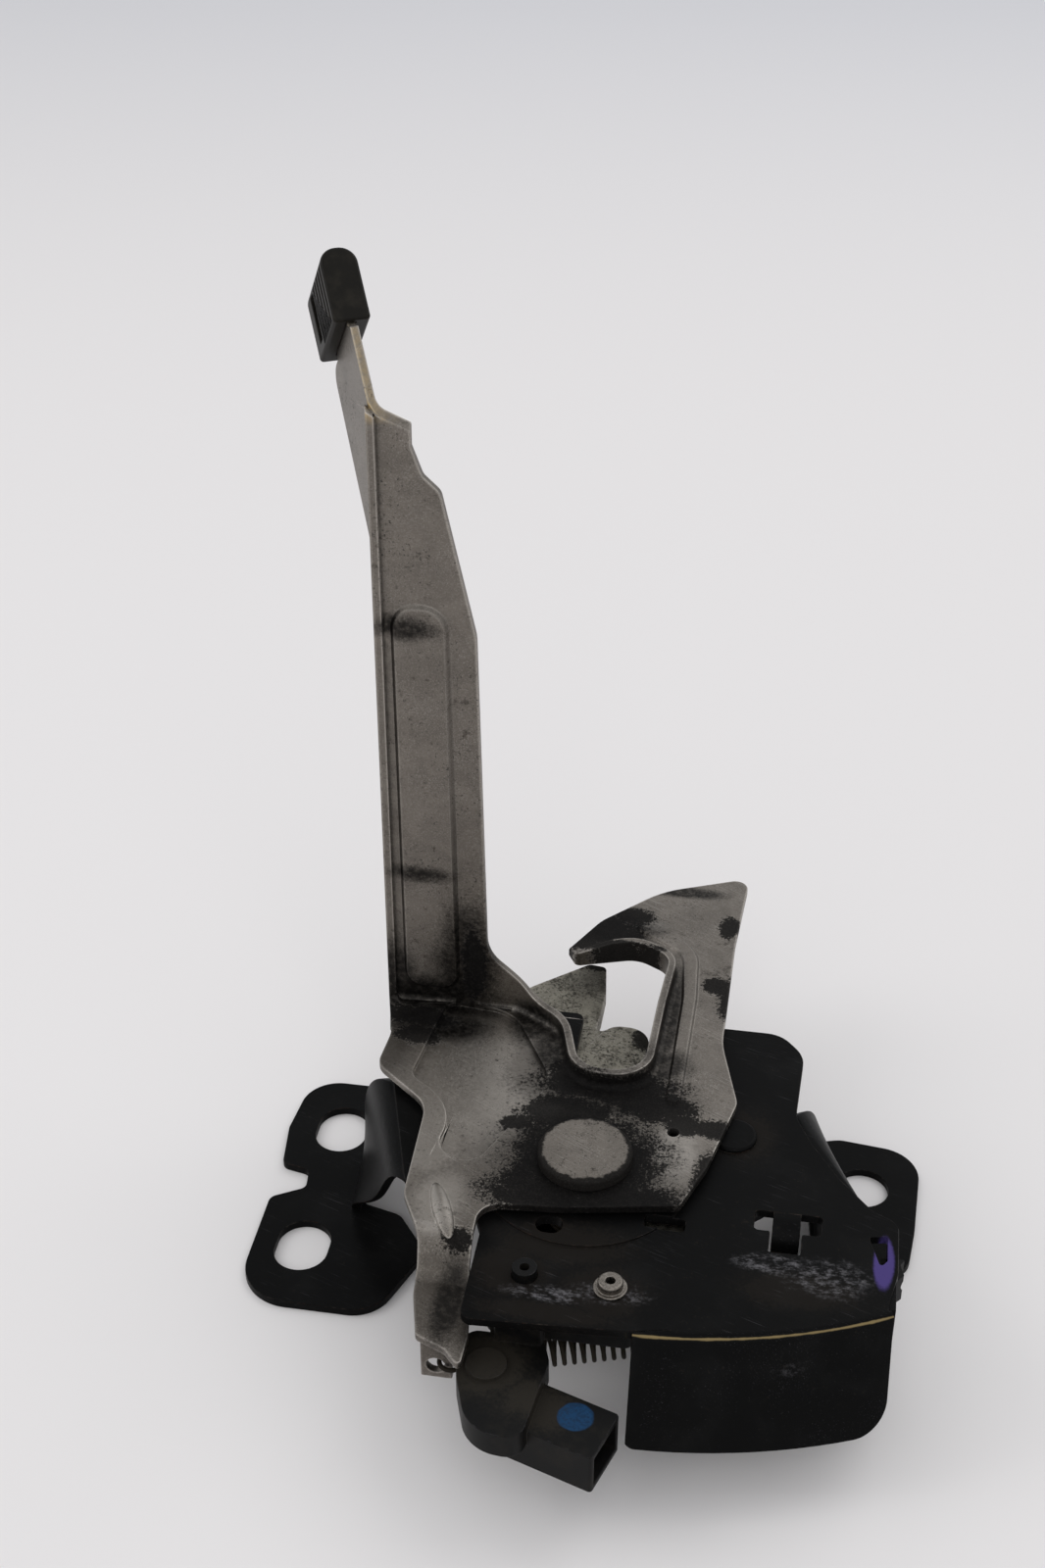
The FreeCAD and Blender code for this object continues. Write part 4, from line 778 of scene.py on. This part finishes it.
class LATCH_OT_catch(bpy.types.Operator):
    """The catch and the pawl in dull zinc"""
    bl_idname = "latch.catch"
    bl_label = "Catch and pawl"

    def execute(self, context):
        zinc = worn_metal("dull yellow zinc", colours().zinc, CATCH_GREASE, brown_spots=CATCH_BROWN,
                          grease=0.4, wear=0.5, roughness=0.5)
        edge = sizes().sheet_edge
        dressed("catch_plate", "ratchet", "catch", zinc, edge)
        dressed("pawl_plate", "pawl", "pawl", zinc, edge)
        return {"FINISHED"}


class LATCH_OT_fasteners(bpy.types.Operator):
    """Rivets, distance tube, sleeves and washers"""
    bl_idname = "latch.fasteners"
    bl_label = "Rivets and spacers"

    def execute(self, context):
        shades = colours()
        head = worn_metal("rivet steel", shades.steel, grease=0.22, wear=0.1, roughness=0.46, mottle=0.22,
                          extra_grease_and_shadow=rim_grease_and_shadow)
        steel = worn_metal("turned steel", shades.steel, grease=0.2, wear=0.3, roughness=0.35)
        black = painted("blackened steel", shades.paint, wear=0.5)
        nylon = moulded("washer plastic", shades.nylon)
        for node, look, slot in (
                ("main_rivet", head, "rivet_steel"),
                ("catch_rivet", steel, "rivet_steel"),
                ("post_rivet", black, "rivet_steel"),
                ("switch_rivet", steel, "rivet_steel"),
                ("post_tube", steel, "zinc_steel"),
                ("catch_sleeve", steel, "zinc_steel"),
                ("pawl_sleeve", steel, "zinc_steel"),
                ("lever_washer", nylon, "washer_plastic"),
                ("catch_washer", nylon, "washer_plastic"),
                ("pawl_washer", nylon, "washer_plastic")):
            dressed(node + "_turned", node, "base", look)
        return {"FINISHED"}


class LATCH_OT_springs(bpy.types.Operator):
    """The dark spring wire"""
    bl_idname = "latch.springs"
    bl_label = "Springs"

    def execute(self, context):
        wire = painted("spring wire", colours().wire, wear=0.2)
        for node in ("lever_spring", "catch_spring", "pawl_spring"):
            recoloured(node, wire)
        return {"FINISHED"}


class LATCH_OT_grip(bpy.types.Operator):
    """The ribbed plastic grip on the arm"""
    bl_idname = "latch.grip"
    bl_label = "Grip"

    def execute(self, context):
        look = moulded("grip plastic", colours().grip, GRIP_FILM, 0.8, roughness=0.42)
        dressed("lever_grip_moulded", "lever_grip", "lever", look, sizes().plastic_edge)
        return {"FINISHED"}


class LATCH_OT_switch(bpy.types.Operator):
    """The switch with its socket, contacts and plunger, and the broken cable grommet"""
    bl_idname = "latch.switch"
    bl_label = "Switch and grommet"

    def execute(self, context):
        shades = colours()
        black = moulded("switch plastic", shades.switch, SWITCH_FILM, 0.55, extra=switch_mark)
        plain = moulded("grommet plastic", shades.switch)
        tin = worn_metal("tinned brass", shades.brass, grease=0.1, wear=0.3, roughness=0.35)
        edge = sizes().plastic_edge
        dressed("switch_housing_moulded", "switch_housing", "base", black, edge)
        dressed("switch_plunger_moulded", "switch_plunger", "plunger", plain)
        dressed("cable_grommet_moulded", "cable_grommet", "base", plain)
        for node in ("switch_terminal_1", "switch_terminal_2"):
            recoloured(node, tin)
        return {"FINISHED"}


def lamp(name, where, aim, width, power):
    """A square soft lamp aimed at a point."""
    data = bpy.data.lights.new(name, "AREA")
    data.shape = "SQUARE"
    data.size = width
    data.energy = power
    made = bpy.data.objects.new(name, data)
    made.location = where
    made.rotation_euler = (Vector(aim) - Vector(where)).to_track_quat("-Z", "Y").to_euler()
    bpy.context.scene.collection.objects.link(made)


def floor_look():
    """A pale floor that fades a little darker with distance, as painted shade."""
    shades = colours()
    made, tree, shader = material("pale floor")
    spot = place(tree, "ShaderNodeTexCoord")
    along = place(tree, "ShaderNodeSeparateXYZ", {"Vector": spot.outputs["Object"]}).outputs["Y"]
    tone = blend(tree, fade(tree, along, *FLOOR_SHADE_FADE), shades.floor, shades.far)
    put(tree, shader.inputs["Base Color"], tone)
    shader.inputs["Roughness"].default_value = FLOOR_ROUGHNESS
    shader.inputs["Specular IOR Level"].default_value = FLOOR_GLOSS
    return made


class LATCH_OT_stage(bpy.types.Operator):
    """The camera, the pale floor and the soft studio light"""
    bl_idname = "latch.stage"
    bl_label = "Stage"

    def execute(self, context):
        scene = context.scene
        scene.view_settings.view_transform = "Standard"
        camera = bpy.data.objects.new("camera", bpy.data.cameras.new("camera"))
        camera.data.lens = CAMERA_LENS
        camera.data.sensor_width = CAMERA_SENSOR
        camera.data.clip_start = CAMERA_NEAR
        heading = math.radians(CAMERA_HEADING)
        down = math.radians(CAMERA_DOWN)
        ahead = math.cos(down)
        way = Vector((math.sin(heading) * ahead, math.cos(heading) * ahead, -math.sin(down)))
        camera.location = CAMERA_PLACE
        camera.rotation_euler = way.to_track_quat("-Z", "Y").to_euler()
        scene.collection.objects.link(camera)
        scene.camera = camera
        work = bmesh.new()
        bmesh.ops.create_grid(work, x_segments=1, y_segments=1, size=sizes().floor_width / 2)
        mesh = bpy.data.meshes.new("floor")
        work.to_mesh(mesh)
        work.free()
        mesh.materials.append(floor_look())
        floor = bpy.data.objects.new("floor", mesh)
        floor.location.z = cad_bounds[0].z - FLOOR_GAP
        scene.collection.objects.link(floor)
        world = bpy.data.worlds.new("studio")
        world.use_nodes = True
        world.node_tree.nodes["Background"].inputs["Color"].default_value = WORLD_COLOUR
        scene.world = world
        centre = (cad_bounds[0] + cad_bounds[1]) / 2
        for name, where, width, power in LAMPS:
            lamp(name, where, centre, width, power)
        return {"FINISHED"}


class LATCH_PT_panel(bpy.types.Panel):
    """The latch's pieces, sizes and colours"""
    bl_idname = "LATCH_PT_panel"
    bl_label = "Hood latch"
    bl_space_type = "VIEW_3D"
    bl_region_type = "UI"
    bl_category = "Hood latch"

    def draw(self, context):
        for operator in OPERATORS:
            self.layout.operator(operator.bl_idname)
        for group in (context.scene.latch_sizes, context.scene.latch_colours):
            for name in group.bl_rna.properties.keys():
                if name not in ("rna_type", "name"):
                    self.layout.prop(group, name)


OPERATORS = (LATCH_OT_stage, LATCH_OT_lever, LATCH_OT_plates, LATCH_OT_catch, LATCH_OT_fasteners,
             LATCH_OT_springs, LATCH_OT_grip, LATCH_OT_switch)
CLASSES = (LatchSizes, LatchColours, *OPERATORS, LATCH_PT_panel)


def register():
    for made in CLASSES:
        bpy.utils.register_class(made)
    bpy.types.Scene.latch_sizes = bpy.props.PointerProperty(type=LatchSizes)
    bpy.types.Scene.latch_colours = bpy.props.PointerProperty(type=LatchColours)


def unregister():
    del bpy.types.Scene.latch_colours
    del bpy.types.Scene.latch_sizes
    for made in reversed(CLASSES):
        bpy.utils.unregister_class(made)


def main():
    register()
    bpy.ops.latch.stage()
    bpy.ops.latch.lever()
    bpy.ops.latch.plates()
    bpy.ops.latch.catch()
    bpy.ops.latch.fasteners()
    bpy.ops.latch.springs()
    bpy.ops.latch.grip()
    bpy.ops.latch.switch()


if __name__ == "__main__":
    main()
